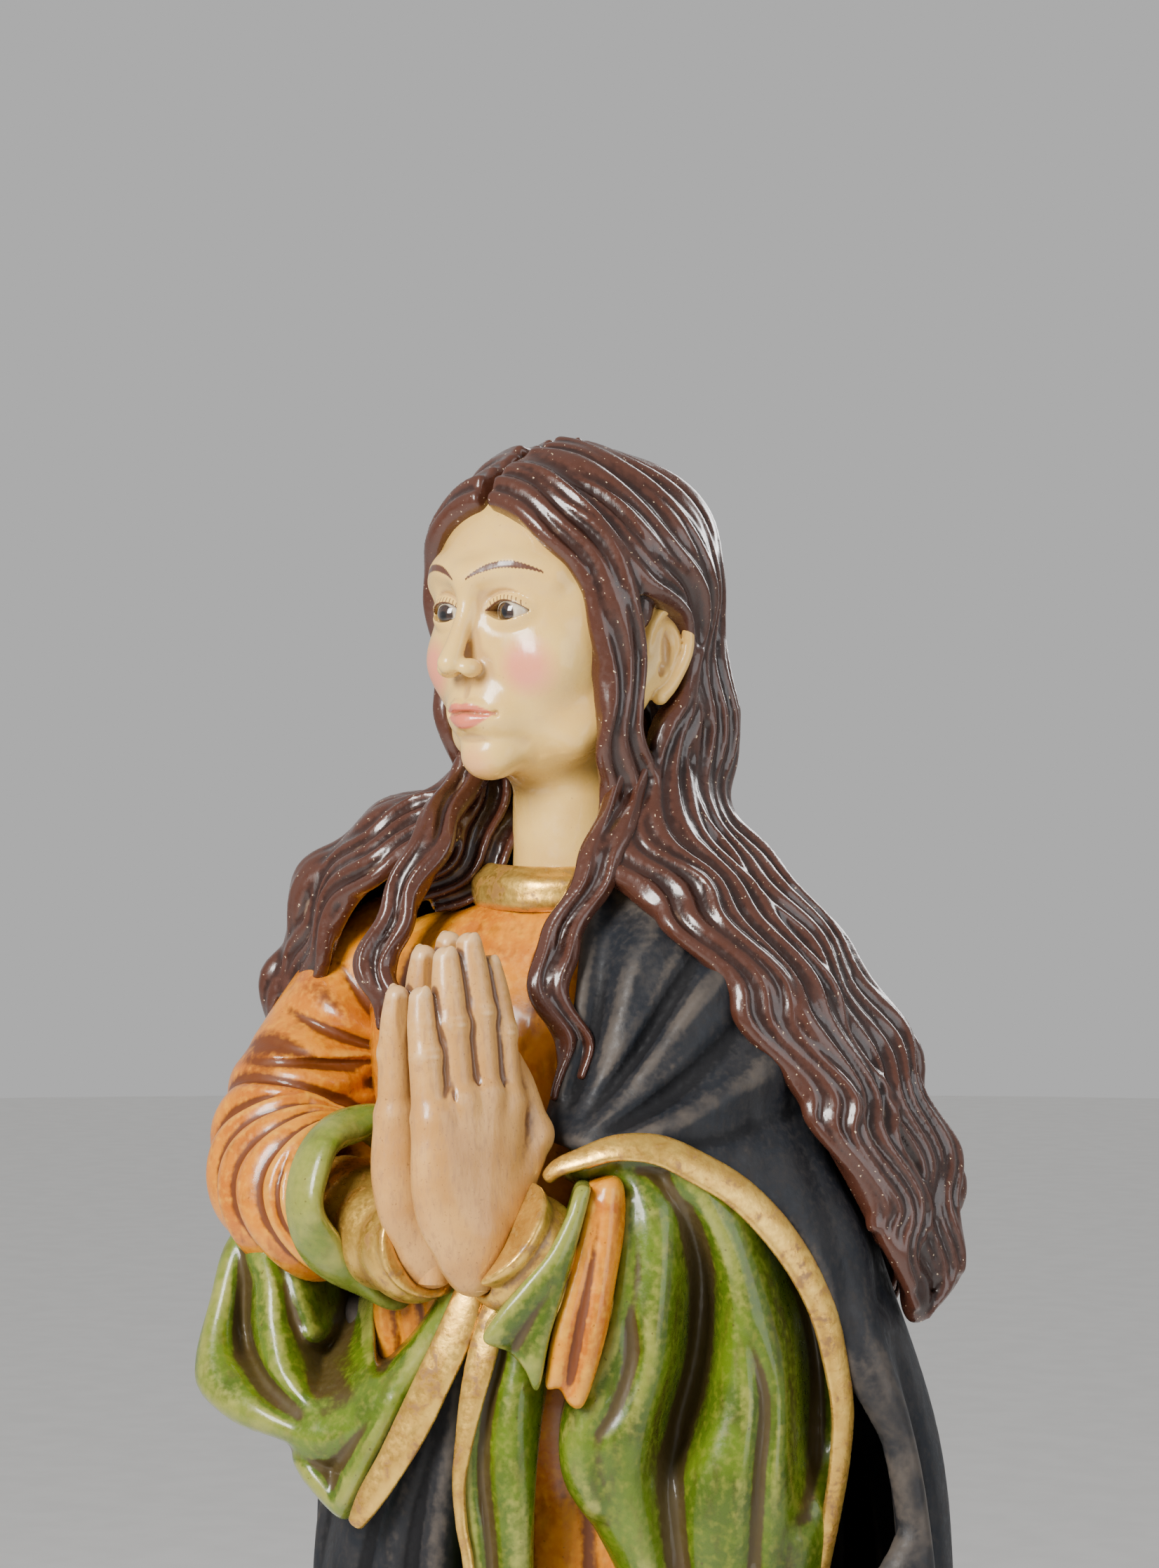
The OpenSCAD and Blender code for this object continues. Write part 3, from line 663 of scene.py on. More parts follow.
EYE = (17.0, -46.0, 927.0)      # centre of the left eye, in the head's frame
EYE_R = 8.0


def eggs(centre, radii):
    """The same ellipsoid on both sides of the head."""
    return [egg((side * centre[0], centre[1], centre[2]), radii) for side in (RIGHT, LEFT)]


def ropes(stations, radius, count=0):
    """The same round bar on both sides of the head."""
    return [rope(np.array(stations, float) * (side, 1, 1), radius, count) for side in (RIGHT, LEFT)]


def eye_rims(x):
    """Heights of the upper and lower lid edges across one eye, with x measured from its middle."""
    bow = 1 - (x / 9.4) ** 2
    return EYE[2] + 0.2 + 3.9 * bow, EYE[2] - 0.4 - 3.1 * bow


def eye_opening(side):
    def distance(x, y, z):
        top, low = eye_rims(x - side * EYE[0])
        return np.maximum(np.maximum(z - top, low - z) * 0.85, y + 44)
    c = np.array((side * EYE[0], -54, EYE[2]))
    return c - (11, 12, 8), c + (11, 12, 8), distance


def groove(field, low, high, middle, width, depth):
    """A carved line: middle(x) gives its height, and it fades towards its two ends."""
    def amount(x, y, z):
        fade = np.clip((x - low[0]) / 4, 0, 1) * np.clip((high[0] - x) / 4, 0, 1)
        return depth * np.exp(-((z - middle(x)) / width) ** 2) * fade
    field.shift(low, high, amount)


def add_all(field, shapes, k):
    for shape in shapes:
        field.add(shape, k)


def cut_all(field, shapes, k):
    for shape in shapes:
        field.cut(shape, k)


def skull_and_cheeks(f):
    f.add(egg((0, 6, 938), (50, 64, 52)))
    f.add(egg((0, -12, 903), (40, 44, 46)), 14)
    add_all(f, ropes([(28, -24, 877), (38, -4, 892), (44, 10, 914)], (8, 9, 9)), 10)
    f.add(rope([(0, 6, 800), (0, 5, 850), (0, 4, 880)], (25, 24, 22)), 9)
    f.add(egg((0, -44, 869), (12.5, 11, 10.5)), 9)
    add_all(f, eggs((23, -36, 908), (15, 14, 15)), 9)
    f.add(egg((0, -47, 886), (17, 12.5, 12)), 8)


def brow_and_nose(f):
    add_all(f, ropes([(31, -41, 941), (20, -50.5, 945.5), (8, -55, 943), (0, -56, 940)], 4.4, 10), 8)
    cut_all(f, eggs((17.5, -62, 929), (13.5, 9.5, 8.5)), 6)
    bridge = [(0, -56, 942), (0, -58.5, 928), (0, -63.5, 915), (0, -68, 906)]
    f.add(rope(bridge, (3.6, 3.4, 4.0, 4.9), 12), 4.5)
    add_all(f, eggs((5.8, -62, 904), (4.0, 5.8, 4.0)), 2.5)
    cut_all(f, eggs((3.5, -65.5, 900.4), (1.8, 3.4, 1.6)), 1.2)


def eyelids(f, side):
    x = side * EYE[0]
    f.add(egg((x, EYE[1], EYE[2]), (10.2, 9.6, 9.3)), 3.2)
    f.cut(eye_opening(side), 0.7)
    groove(f, (x - 11, -66, 925), (x + 11, -40, 945),
           lambda px: EYE[2] + 8.0 - 4.6 * ((px - x) / 11) ** 2, 0.9, 0.9)
    groove(f, (x - 10, -66, 905), (x + 10, -40, 926),
           lambda px: EYE[2] - 8.3 + 3.0 * ((px - x) / 11) ** 2, 1.6, 0.35)


def chin_dent(x, y, z):
    """How far the chin's crease and the groove over the lip go in."""
    chin = 1.4 * np.exp(-((z - 875.6) / 3.2) ** 2 - (x / 11) ** 2)
    philtrum = 0.8 * np.exp(-(x / 1.5) ** 2) * np.exp(-((z - 894.5) / 3.4) ** 2)
    return chin + philtrum


def mouth(f):
    upper = [(-12.5, -52.8, 886), (-5, -58.6, 888.6), (0, -59.2, 887.8), (5, -58.6, 888.6),
             (12.5, -52.8, 886)]
    f.add(rope(upper, (1.0, 2.5, 2.3, 2.5, 1.0), 20), 2.0)
    f.add(rope([(-11, -52.5, 885), (0, -57.6, 882.2), (11, -52.5, 885)], (1.0, 3.5, 1.0), 16), 2.2)
    groove(f, (-14, -70, 880), (14, -44, 892), lambda x: 885.8 + 0.5 * np.cos(x / 3), 0.75, 1.7)
    cut_all(f, eggs((13.0, -54.6, 885.6), (1.2, 1.8, 1.1)), 2)
    f.shift((-30, -80, 860), (30, -40, 902), chin_dent)


def ear(f, side):
    f.add(egg((side * 45.5, 10, 911), (4.5, 9.5, 16), turn=side * 0.15), 3)
    rim = [(46, 0, 906), (49, 0, 920), (50.5, 8, 929), (52, 18, 925), (51.5, 20, 912), (49, 14, 899),
           (47, 8, 893)]
    f.add(rope(np.array(rim) * (side, 1, 1), (1.8, 2.2, 2.5, 2.8, 2.6, 2.8, 3.6), 20), 1.0)
    f.cut(egg((side * 51, 9.5, 912), (4.2, 5.2, 9)), 1.5)
    f.cut(egg((side * 51, 6.5, 904), (4.5, 3, 3.5)), 1.5)
    inner = [(47.5, 13, 903), (48.5, 14, 913), (48.5, 10, 920)]
    f.add(rope(np.array(inner) * (side, 1, 1), 1.4, 8), 1.5)


def face_field():
    f = Field((-62, -84, 800), (62, 80, 1000), 0.8)
    skull_and_cheeks(f)
    brow_and_nose(f)
    for side in (RIGHT, LEFT):
        eyelids(f, side)
    mouth(f)
    for side in (RIGHT, LEFT):
        ear(f, side)
    return f


def ellipse_mask(p, centre, radii, soft):
    q = np.sqrt((((p - np.array(centre)) / np.array(radii)) ** 2).sum(1))
    return np.clip((1 + soft - q) / (2 * soft), 0, 1)


def brow_and_lashes(p, side):
    """The painted lines round one eye, from 0 to 1 at each point."""
    front = p[:, 1] < -30
    x = (p[:, 0] - side * EYE[0]) * side
    brow = 941.5 + 4.2 * (1 - ((x - 3) / 14) ** 2)
    thick = 1.6 * np.clip(1.4 - np.abs(x - 1) / 14, 0.15, 1)
    ragged = 0.35 * np.sin(p[:, 0] * 5.1) + 0.2 * np.sin(p[:, 0] * 11.7 + 1)
    stroke = np.clip((thick - np.abs(p[:, 2] - brow + ragged * 0.5)) / 0.35, 0, 1)
    line = stroke * (np.abs(x - 1) < 14.5) * front
    top, low = eye_rims(x)
    lash = np.clip((0.55 - np.abs(p[:, 2] - top - 0.3)) / 0.3, 0, 1)
    under = np.clip((0.3 - np.abs(p[:, 2] - low + 0.2)) / 0.3, 0, 1) * 0.6
    line = np.maximum(line, np.maximum(lash, under) * ((np.abs(x) < 9.6) & front))
    dashes = np.clip(np.sin((x + 0.25 * (p[:, 2] - top)) * 3.4) * 2.2 - 1.0, 0, 1)
    rise = (p[:, 2] > top) & (p[:, 2] < top + 2.6)
    return np.maximum(line, dashes * rise * (np.abs(x) < 9) * front * 0.9)


def face_paint(p):
    """Paint on the face, from points in the head's frame: cheeks, lips, and brow and lash lines."""
    blush = 0.35 * ellipse_mask(p, (0, -54, 866), (7, 10, 6), 0.5)
    line = np.zeros(len(p))
    for side in (RIGHT, LEFT):
        cheek = 0.8 * ellipse_mask(p, (side * 25, -46, 905), (9.5, 14, 10.5), 0.35)
        blush = np.maximum(blush, cheek)
        line = np.maximum(line, brow_and_lashes(p, side))
    x, z = np.abs(p[:, 0]), p[:, 2]
    bow = 1 - (x / 12.4) ** 2
    top = 886 + 4.4 * np.clip(bow, 0, 1) - 0.9 * np.exp(-(x / 2.0) ** 2)
    low = 885.5 - 6.2 * np.clip(bow, 0, 1)
    lips = np.clip(np.minimum(top - z, z - low) / 0.5 + 0.4, 0, 1) * (bow > 0) * (p[:, 1] < -48)
    return blush, lips * 0.85, line


def refined(points, quads, marks, inside):
    """Splits every quad whose middle is inside into four, twice, for fine paint lines."""
    for _ in range(2):
        pick = inside(points[quads].mean(1))
        split, rest = quads[pick], quads[~pick]
        edges = np.sort(np.stack([split, np.roll(split, -1, 1)], -1), -1).reshape(-1, 2)
        unique, index = np.unique(edges, axis=0, return_inverse=True)
        index = index.reshape(-1, 4)
        base = len(points)
        mids = points[unique].mean(1)
        centres = points[split].mean(1)
        marks = np.concatenate([marks, marks[unique].mean(1), marks[split].mean(1)])
        points = np.vstack([points, mids, centres])
        e = base + index
        c = base + len(unique) + np.arange(len(split))
        new = [np.stack([split[:, n], e[:, n], c, e[:, n - 1]], -1) for n in range(4)]
        quads = np.vstack([rest, *new])
    return points, quads, marks


def make_face():
    points, quads, relief = face_field().mesh(3.0)
    near = lambda m: (m[:, 1] < -40) & (np.abs(m[:, 0]) < 34) & (m[:, 2] > 920) & (m[:, 2] < 951)
    points, quads, relief = refined(points, quads, relief, near)
    blush, lips, line = face_paint(points)
    piece("face_and_neck", head(points), quads[:, ::-1], FLESH, ("face_mask",), relief=relief, blush=blush,
          lips=lips, line=line)


def make_eye(side, node):
    """A glass eye: a round ball with its iris set looking ahead and a little down."""
    rings, sides = 36, 48
    a = np.linspace(0.001, math.pi - 0.001, rings)
    b = np.linspace(0, 2 * math.pi, sides, endpoint=False)
    bulge = 1 + 0.05 * np.exp(-(a / 0.45) ** 2)
    r = EYE_R * 0.985 * bulge
    x = (r * np.sin(a))[:, None] * np.cos(b)
    z = (r * np.sin(a))[:, None] * np.sin(b)
    y = -(r * np.cos(a))[:, None] * np.ones(sides)
    points = np.stack([x, y, z], -1).reshape(-1, 3)
    angle = np.repeat(a, sides)
    tip = math.radians(6)
    c, s = math.cos(tip), math.sin(tip)
    x, y, z = points.T
    points = np.stack([x, c * y - s * z, s * y + c * z], -1)
    points = points + (side * EYE[0], EYE[1], EYE[2])
    iris = np.clip((0.60 - angle) / 0.04, 0, 1)
    pupil = np.clip((0.27 - angle) / 0.03, 0, 1)
    piece(f"glass_{node}", head(points), ring_quads(rings, sides), GLASS, (node,), iris=iris, pupil=pupil,
          relief=np.zeros(len(points)))


# ---------------------------------------------------------------- hair

SKULL = (0.0, 5.0, 939.0)
SKULL_R = (53.5, 65.0, 55.5)


def on_head(p):
    """Pushes points that are level with the skull onto the hair's surface."""
    local = turned(p, -HEAD_TURN)
    q = (local - SKULL) / SKULL_R
    size = np.linalg.norm(q, axis=1, keepdims=True)
    onto = head(SKULL + (local - SKULL) / size)
    share = np.clip((local[:, 2:] - 888) / 40, 0, 1)
    return p + (onto - p) * share


def across(rails, s):
    """Points at share s of the way across a set of rails, one for each step along them."""
    r = np.array(rails)
    n, count = r.shape[:2]
    t = np.clip(s, 0, 1) * (n - 1 - 1e-9)
    i = t.astype(int)
    f = (t - i)[:, None]
    along = np.arange(count)
    return between(*(r[np.clip(i + k, 0, n - 1), along] for k in (-1, 0, 1, 2)), f)


STEPS = 110                     # points along each rail of a fall of hair
STRANDS = 3                     # strands in each lock


def flow(rails, locks, seed, sway=(1.0, 4.4), length=48.0, ends=(0.88, 1.0), lift=2.4, bed=6.0, loose=0.0):
    """Wavy carved locks between rails, each of a few strands, over a thin bed, as closed meshes.

    sway is how far the locks swing at their start and end, length that of a wave, and ends the shares of
    the way at which locks may stop. lift is how far they stand out and bed the bed's thickness.
    """
    gen = np.random.default_rng(seed)
    rails = [curve(r, STEPS) for r in rails]
    one = np.ones(STEPS)
    mid = across(rails, 0.5 * one)
    side = unit(across(rails, 0.55 * one) - across(rails, 0.45 * one))
    tangent = unit(np.gradient(mid, axis=0))
    core = np.stack([0 * one, 8 * one, mid[:, 2]], -1)
    high = np.clip((mid[:, 2:] - 860) / 60, 0, 1)
    core = core + high * (np.array(SKULL) - core)
    out = unit(np.cross(tangent, side))
    out = out * np.sign((out * (mid - core)).sum(1, keepdims=True))
    run = np.concatenate([[0], np.cumsum(np.linalg.norm(np.diff(mid, axis=0), axis=1))])
    t = run / run[-1]
    ease = t * t * (3 - 2 * t)
    wide = sum(np.linalg.norm(across(rails, (k + 1) / 8 * one) - across(rails, k / 8 * one), axis=1)
               for k in range(8))
    parts = []
    for m in range(locks):
        stop = gen.uniform(*ends)
        phase, gain = gen.uniform(-0.25, 0.25) + 0.35 * m, gen.uniform(0.85, 1.15)
        turn = run * 2 * math.pi / length + phase
        swing = gain * (sway[0] + (sway[1] - sway[0]) * ease) * np.sin(turn)
        rise = gen.uniform(-1.0, 1.6) + 1.2 * np.sin(turn * 0.6 + m) + loose * ease * gen.uniform(0, 1)
        left = np.clip((stop - t) / 0.16, 0, 1)
        pinch = 0.15 + 0.85 * left
        keep = t <= stop
        for j in range(STRANDS):
            off = (j - (STRANDS - 1) / 2) / STRANDS
            s = (m + 0.5 + off * 0.92 * pinch + 0.10 * np.sin(turn * 0.5 + j)) / locks
            path = on_head(across(rails, s)) + side * swing[:, None]
            crown = lift * (1 - (2 * off) ** 2 * 1.6)
            path = path + out * (rise + crown + 0.5 * np.sin(turn * 0.9 + 2 * j))[:, None]
            width = wide / locks / STRANDS * 0.66 * np.sqrt(0.05 + 0.95 * left) * gen.uniform(0.85, 1.2)
            thick = np.minimum(width * 1.15 + 1.2, 4.6) * np.sqrt(0.1 + 0.9 * left)
            width, thick = np.maximum(width, 1.7), np.maximum(thick, 2.0)
            parts.append(tube(path[keep], width[keep], thick[keep], out[keep], 12, 3, 0.07, phase + j))
    keep = t <= (ends[0] + ends[1]) / 2 - 0.01
    grid = np.stack([on_head(across(rails, k / 12 * one)) for k in range(13)], 1)
    grid = grid - out[:, None, :] * (bed / 2 - 1.0)
    parts.append(slab(grid[keep], bed))
    return parts


# Rails over the skull, in the head's frame, and on down over shoulders and back
FRONT_HEAD = [
    (3, -54, 975), (18, -53, 968), (32, -46, 956), (42, -37, 940), (47, -31, 922), (47, -29, 900),
    (44, -23, 874), (39, -17, 850)]
BACK_HEAD = [
    (1, 44, 985), (13, 55, 977), (25, 63, 958), (32, 67, 938), (35, 67, 916), (37, 65, 894), (39, 61, 872),
    (42, 57, 852)]


def rail(on_skull, below, side=LEFT):
    return np.vstack([head(np.array(on_skull) * (side, 1, 1)), below])


FRONT_LEFT = rail(FRONT_HEAD, seen([
    (12, 46, 828), (28, 56, 813), (48, 64, 797), (66, 68, 774), (84, 69, 748), (100, 67, 724),
    (115, 63, 699), (128, 57, 674), (137, 50, 650)]))
EAR_LEFT = rail(
    [(2, -40, 989), (20, -38, 986), (38, -30, 970), (49, -19, 950), (52, -10, 927), (51, -7, 905),
     (48, -3, 880), (44, 4, 856)],
    seen([(40, 42, 832), (58, 50, 814), (77, 57, 792), (94, 61, 766), (110, 61, 738), (123, 59, 712),
          (133, 55, 688), (139, 50, 664), (142, 44, 642)]))
NAPE_LEFT = rail(
    [(2, -32, 993), (24, -27, 991), (42, -14, 974), (51, 3, 952), (53, 20, 936), (50, 29, 913),
     (47, 28, 888), (45, 24, 864)],
    seen([(54, 24, 840), (70, 32, 820), (92, 38, 795), (110, 42, 766), (125, 42, 738), (137, 41, 710),
          (145, 39, 684), (147, 38, 660), (144, 38, 636)]))
SIDE_LEFT = rail(
    [(2, 6, 997), (24, 14, 992), (40, 30, 974), (48, 40, 950), (49, 45, 930), (48, 46, 908), (46, 44, 884),
     (45, 42, 860)],
    seen([(66, 6, 838), (84, 14, 818), (105, 20, 793), (123, 24, 765), (138, 27, 737), (149, 29, 708),
          (155, 30, 682), (154, 32, 658), (146, 34, 634)]))
BACK_LEFT = rail(BACK_HEAD, seen([
    (72, -16, 836), (92, -8, 816), (114, 0, 792), (132, 6, 764), (147, 12, 736), (159, 17, 706),
    (163, 22, 680), (158, 27, 656), (148, 31, 634)]))
CENTRE_BACK = rail(
    [(0, 46, 985), (0, 59, 975), (0, 67, 956), (0, 70, 936), (0, 70, 914), (0, 69, 892), (0, 66, 870)],
    [(0, 68, 846), (0, 74, 822), (0, 82, 798), (0, 90, 770), (0, 97, 742), (0, 102, 714), (0, 106, 688),
     (0, 109, 664), (0, 111, 640), (0, 112, 624)])
OVER_EAR_LEFT = head([
    (2, -40, 989), (20, -38, 986), (38, -31, 970), (48, -23, 952), (54, -13, 937), (57, 1, 929),
    (57, 15, 922), (53, 25, 910), (48, 31, 897), (45, 34, 886)])
UNDER_EAR_LEFT = rail([(51, 27, 912), (51, 19, 895), (49, 8, 882), (46, 2, 862)], EAR_LEFT[8:])
FRONT_RIGHT = rail(FRONT_HEAD, seen([
    (-43, 4, 838), (-54, 10, 830), (-70, 8, 824), (-86, 0, 812), (-98, -14, 792), (-105, -28, 764),
    (-109, -40, 735), (-106, -48, 708), (-100, -52, 688)]), RIGHT)
NAPE_RIGHT = rail(
    [(2, -32, 993), (24, -27, 991), (42, -14, 974), (51, 3, 952), (53, 18, 934), (52, 14, 908),
     (48, 8, 884), (46, 4, 866)],
    seen([(-50, -14, 852), (-62, -16, 846), (-77, -20, 838), (-93, -28, 826), (-106, -38, 806),
          (-114, -46, 778), (-118, -52, 748), (-115, -57, 716), (-108, -60, 692)]), RIGHT)
SIDE_RIGHT = rail(
    [(1, 10, 997), (22, 20, 992), (38, 34, 974), (46, 42, 950), (48, 44, 928), (48, 42, 904), (47, 38, 882),
     (47, 34, 862)],
    seen([(-46, -40, 850), (-58, -46, 846), (-74, -50, 838), (-92, -54, 825), (-108, -58, 804),
          (-117, -62, 776), (-121, -66, 746), (-118, -72, 714), (-110, -78, 690)]), RIGHT)
BACK_RIGHT = rail(BACK_HEAD, [
    (-52, 62, 834), (-66, 62, 814), (-82, 62, 792), (-94, 62, 764), (-102, 64, 736), (-104, 68, 708),
    (-100, 74, 684), (-92, 80, 662), (-84, 86, 644)], RIGHT)
NECK_OUTER = seen([(-40, -24, 878), (-40, -17, 860), (-43, -10, 843), (-50, -3, 829), (-60, 1, 819),
                   (-72, 3, 812)])
NECK_INNER = seen([(-12, -28, 878), (-12, -24, 860), (-16, -17, 840), (-25, -10, 822), (-39, -5, 808),
                   (-54, -3, 802)])
LOCK_LEFT = seen([(24, 20, 880), (21, 30, 863), (14, 42, 842), (7, 50, 826), (0, 57, 811), (-8, 62, 796),
                  (-13, 66, 782), (-10, 69, 768), (-3, 71, 755), (-2, 73, 742), (-7, 74, 730)])
LOCK_RIGHT = seen([(-24, -10, 872), (-32, -2, 858), (-41, 11, 846), (-46, 20, 832), (-53, 25, 818),
                   (-60, 28, 805), (-66, 31, 790), (-68, 34, 776), (-62, 37, 764), (-58, 40, 752),
                   (-60, 42, 742)])


def hair_block(name, parts, low, high, node, voxel, tip=None):
    """One carved block of hair from closed meshes, and a tip in which its locks end."""
    f = Field(low, high, voxel)
    f.add_mesh(*joined(parts))
    if tip:
        f.add(tip, 2.0)
    f.blur()
    carve(name, f, HAIR, (node,), 2.5)


def cap_grooves(x, y, z):
    """Combed grooves that slant over the cap."""
    return 1.1 - 1.3 * pleat((y + 0.45 * z + 3 * np.sin(z / 9)) / 1.7)


def hair_cap_field():
    """The mass of hair on the skull, open in front and at the ears, in the head's own frame."""
    f = Field((-64, -70, 846), (64, 84, 1004), 1.1)
    f.add(egg((0, 6, 939), (52, 63.5, 54)))
    f.add(egg((0, 34, 890), (46, 34, 44)), 12)
    f.cut(egg((0, -58, 905), (52, 60, 70)), 2)
    cut_all(f, eggs((52, 7, 909), (14, 11.5, 19)), 2)
    f.cut(egg((0, -20, 868), (60, 42, 30)), 3)
    f.shift((-64, -70, 846), (64, 84, 980), cap_grooves)
    return f


def make_left_hair():
    wave = {"sway": (1.2, 6.0), "length": 50.0}
    parts = flow([FRONT_LEFT, EAR_LEFT], 3, 11, bed=7.0, ends=(0.93, 1.0), **wave)
    parts += flow([OVER_EAR_LEFT, NAPE_LEFT[:8]], 3, 14, ends=(1.0, 1.0), sway=(0.8, 1.2))
    parts += flow([NAPE_LEFT, SIDE_LEFT, BACK_LEFT], 5, 12, ends=(0.94, 1.0), loose=2.0, bed=8.0, **wave)
    parts += flow([UNDER_EAR_LEFT, NAPE_LEFT[5:]], 3, 13, ends=(0.94, 1.0), bed=8.0, sway=(0.5, 6.0),
                  length=50.0)
    hair_block("left_hair", parts, (-20, -90, 615), (178, 100, 1012), "left_hair_fall", 1.15,
               egg(seen((144, 39, 650)), (6, 8, 13)))


def make_right_hair():
    parts = flow([FRONT_RIGHT, NAPE_RIGHT], 4, 21, sway=(1.2, 5.0))
    parts += flow([NAPE_RIGHT, SIDE_RIGHT, BACK_RIGHT], 5, 22, loose=2.0, bed=7.0, sway=(1.2, 6.0),
                  length=50.0)
    parts += flow([NECK_INNER, NECK_OUTER], 3, 23, bed=8.0, lift=-9.5, sway=(0.5, 3.0), length=40)
    hair_block("right_hair", parts, (-160, -80, 640), (20, 110, 1012), "right_hair_fall", 1.15)


def make_back_hair():
    left, middle, right = (curve(r, 17) for r in (BACK_LEFT, CENTRE_BACK, BACK_RIGHT))
    rails = [left, (left + middle) / 2 + (0, 4, 0), middle, (right + middle) / 2 + (0, 4, 0), right]
    hair_block("back_hair", flow(rails, 11, 31, bed=9.0, loose=2.0), (-130, 0, 600), (165, 135, 1008),
               "back_hair_fall", 1.4)


def make_front_locks():
    for name, path, beside, seed, sway, low, high in (
            ("left", LOCK_LEFT, (15, -2, -3), 41, 2.0, (-30, -90, 720), (50, -10, 870)),
            ("right", LOCK_RIGHT, (-15, -5, 1), 42, 2.2, (-100, -80, 730), (-20, 0, 875))):
        parts = flow([path, path + seen(beside)], 2, seed, sway=(0.5, sway), length=34, bed=4.0,
                     ends=(0.9, 1.0))
        hair_block(f"{name}_lock", parts, low, high, f"{name}_front_lock", 0.9)


def make_hair():
    points, quads, relief = hair_cap_field().mesh(3.0)
    piece("hair_cap", head(points), quads[:, ::-1], HAIR, ("head_block",), relief=relief)
    make_left_hair()
    make_right_hair()
    make_back_hair()
    make_front_locks()


# ---------------------------------------------------------------- cloth

def pleat(t, power=0.85):
    """Rounded ridges with sharp valleys between them, from -1 to 1; a higher power widens the valleys."""
    return 2 * np.abs(np.cos(t / 2)) ** power - 1


def body(stations, fold=None):
    """A solid round the vertical axis; stations are (z, middle x, middle y, half width, half depth)."""
    table = curve(stations, 160)

    def distance(x, y, z):
        cx, cy, rx, ry = (np.interp(z, table[:, 0], table[:, i]).astype(np.float32) for i in (1, 2, 3, 4))
        px, py = (x - cx) / rx, (y - cy) / ry
        q = np.sqrt(px * px + py * py)
        f = 1.0 if fold is None else 1 + fold(np.arctan2(px, -py), z)
        d = q * (q - f) / np.maximum(np.sqrt((px / rx) ** 2 + (py / ry) ** 2), 1e-6)
        return np.maximum(np.maximum(d, z - table[-1, 0]), table[0, 0] - z)

    r = table[:, 3:5].max() * 1.2 + 30
    return np.array((-r, -r, table[0, 0])), np.array((r, r, table[-1, 0])), distance


TRUNK = [
    (62, 0, 0, 116, 90), (150, 0, 0, 110, 85), (300, 0, 0, 101, 77), (430, 0, 0, 94, 69),
    (540, 0, 0, 86, 62), (620, 0, 2, 73, 56), (690, 0, 0, 80, 59), (750, 0, 0, 89, 60), (786, 0, 4, 88, 49),
    (800, 0, 5, 71, 41), (807, 0, 4, 40, 34)]


def tunic_folds(angle, z):
    low = np.clip((660 - z) / 560, 0, 1)
    warped = angle + 0.11 * np.sin(3 * angle + z / 95) + 0.07 * np.sin(6 * angle - z / 150)
    deep = pleat(15 * warped + 0.4) * (0.012 + 0.055 * low)
    broad = 0.02 * low * np.sin(5 * angle + z / 120)
    waist = np.exp(-((z - 612) / 46) ** 2) * 0.02 * pleat(22 * angle + 0.5)
    return deep + broad + waist


def chest_folds(x, y, z):
    """Soft folds that hang from the collar."""
    share = np.clip((800 - z) / 14, 0, 1) * np.clip((z - 744) / 24, 0, 1)
    return -share * 1.6 * pleat(x / 5.2 + (z - 800) * 0.02 * np.sign(x) + 0.4)


WAIST_OUTLINE = [(-78, 688), (-60, 694), (-34, 690), (-28, 640), (-30, 575), (-60, 566), (-74, 590)]
WAIST_RIDGES = [
    [(-74, 42, 690, 8, 6), (-73, 48, 660, 8, 6), (-69, 50, 630, 9, 6), (-63, 48, 600, 9, 6),
     (-58, 46, 572, 9, 6)],
    [(-63, 50, 690, 8, 6), (-61, 56, 660, 8, 6), (-56, 58, 630, 9, 6), (-50, 56, 600, 9, 6),
     (-44, 56, 572, 9, 6)],
    [(-51, 60, 690, 8, 6), (-50, 64, 660, 8, 6), (-44, 67, 630, 8, 6), (-37, 66, 600, 8, 6),
     (-33, 66, 572, 8, 6)]]


def make_tunic():
    f = Field((-122, -104, 60), (122, 70, 810), 1.9)
    f.add(body(TRUNK, tunic_folds))
    f.add(egg((0, -30, 612), (66, 42, 42)), 18)
    f.add(drape(WAIST_OUTLINE, WAIST_RIDGES, base=25, back=0, fall=3), 4)
    f.shift((-60, -90, 740), (60, 0, 812), chest_folds)
    f.blur()
    f.keep(lambda x, y, z: np.where(z > 590, y - 62, y - 28) + 0 * x)
    carve("tunic", f, TUNIC, ("trunk",), 5.0)


# ---------------------------------------------------------------- sleeves, cuffs and hands

RIGHT_ARM = [
    (-74, 6, 800, 17), (-86, 2, 786, 24), (-97, -6, 766, 28), (-107, -28, 728, 32), (-102, -52, 700, 33),
    (-80, -72, 690, 33), (-56, -83, 690, 30), (-47, -87, 692, 27)]
LEFT_ARM = [
    (70, 6, 782, 14), (72, 4, 756, 16), (72, -6, 712, 15), (70, -24, 684, 12), (64, -44, 664, 13),
    (56, -62, 650, 15)]
RIGHT_WRIST = [(-60, -80, 685, 22), (-38, -89, 680, 21), (-14, -100, 674, 21), (2, -107, 676, 22)]
LEFT_WRIST = [(58, -64, 640, 16), (50, -78, 655, 20), (42, -93, 669, 23), (34, -109, 683, 24)]


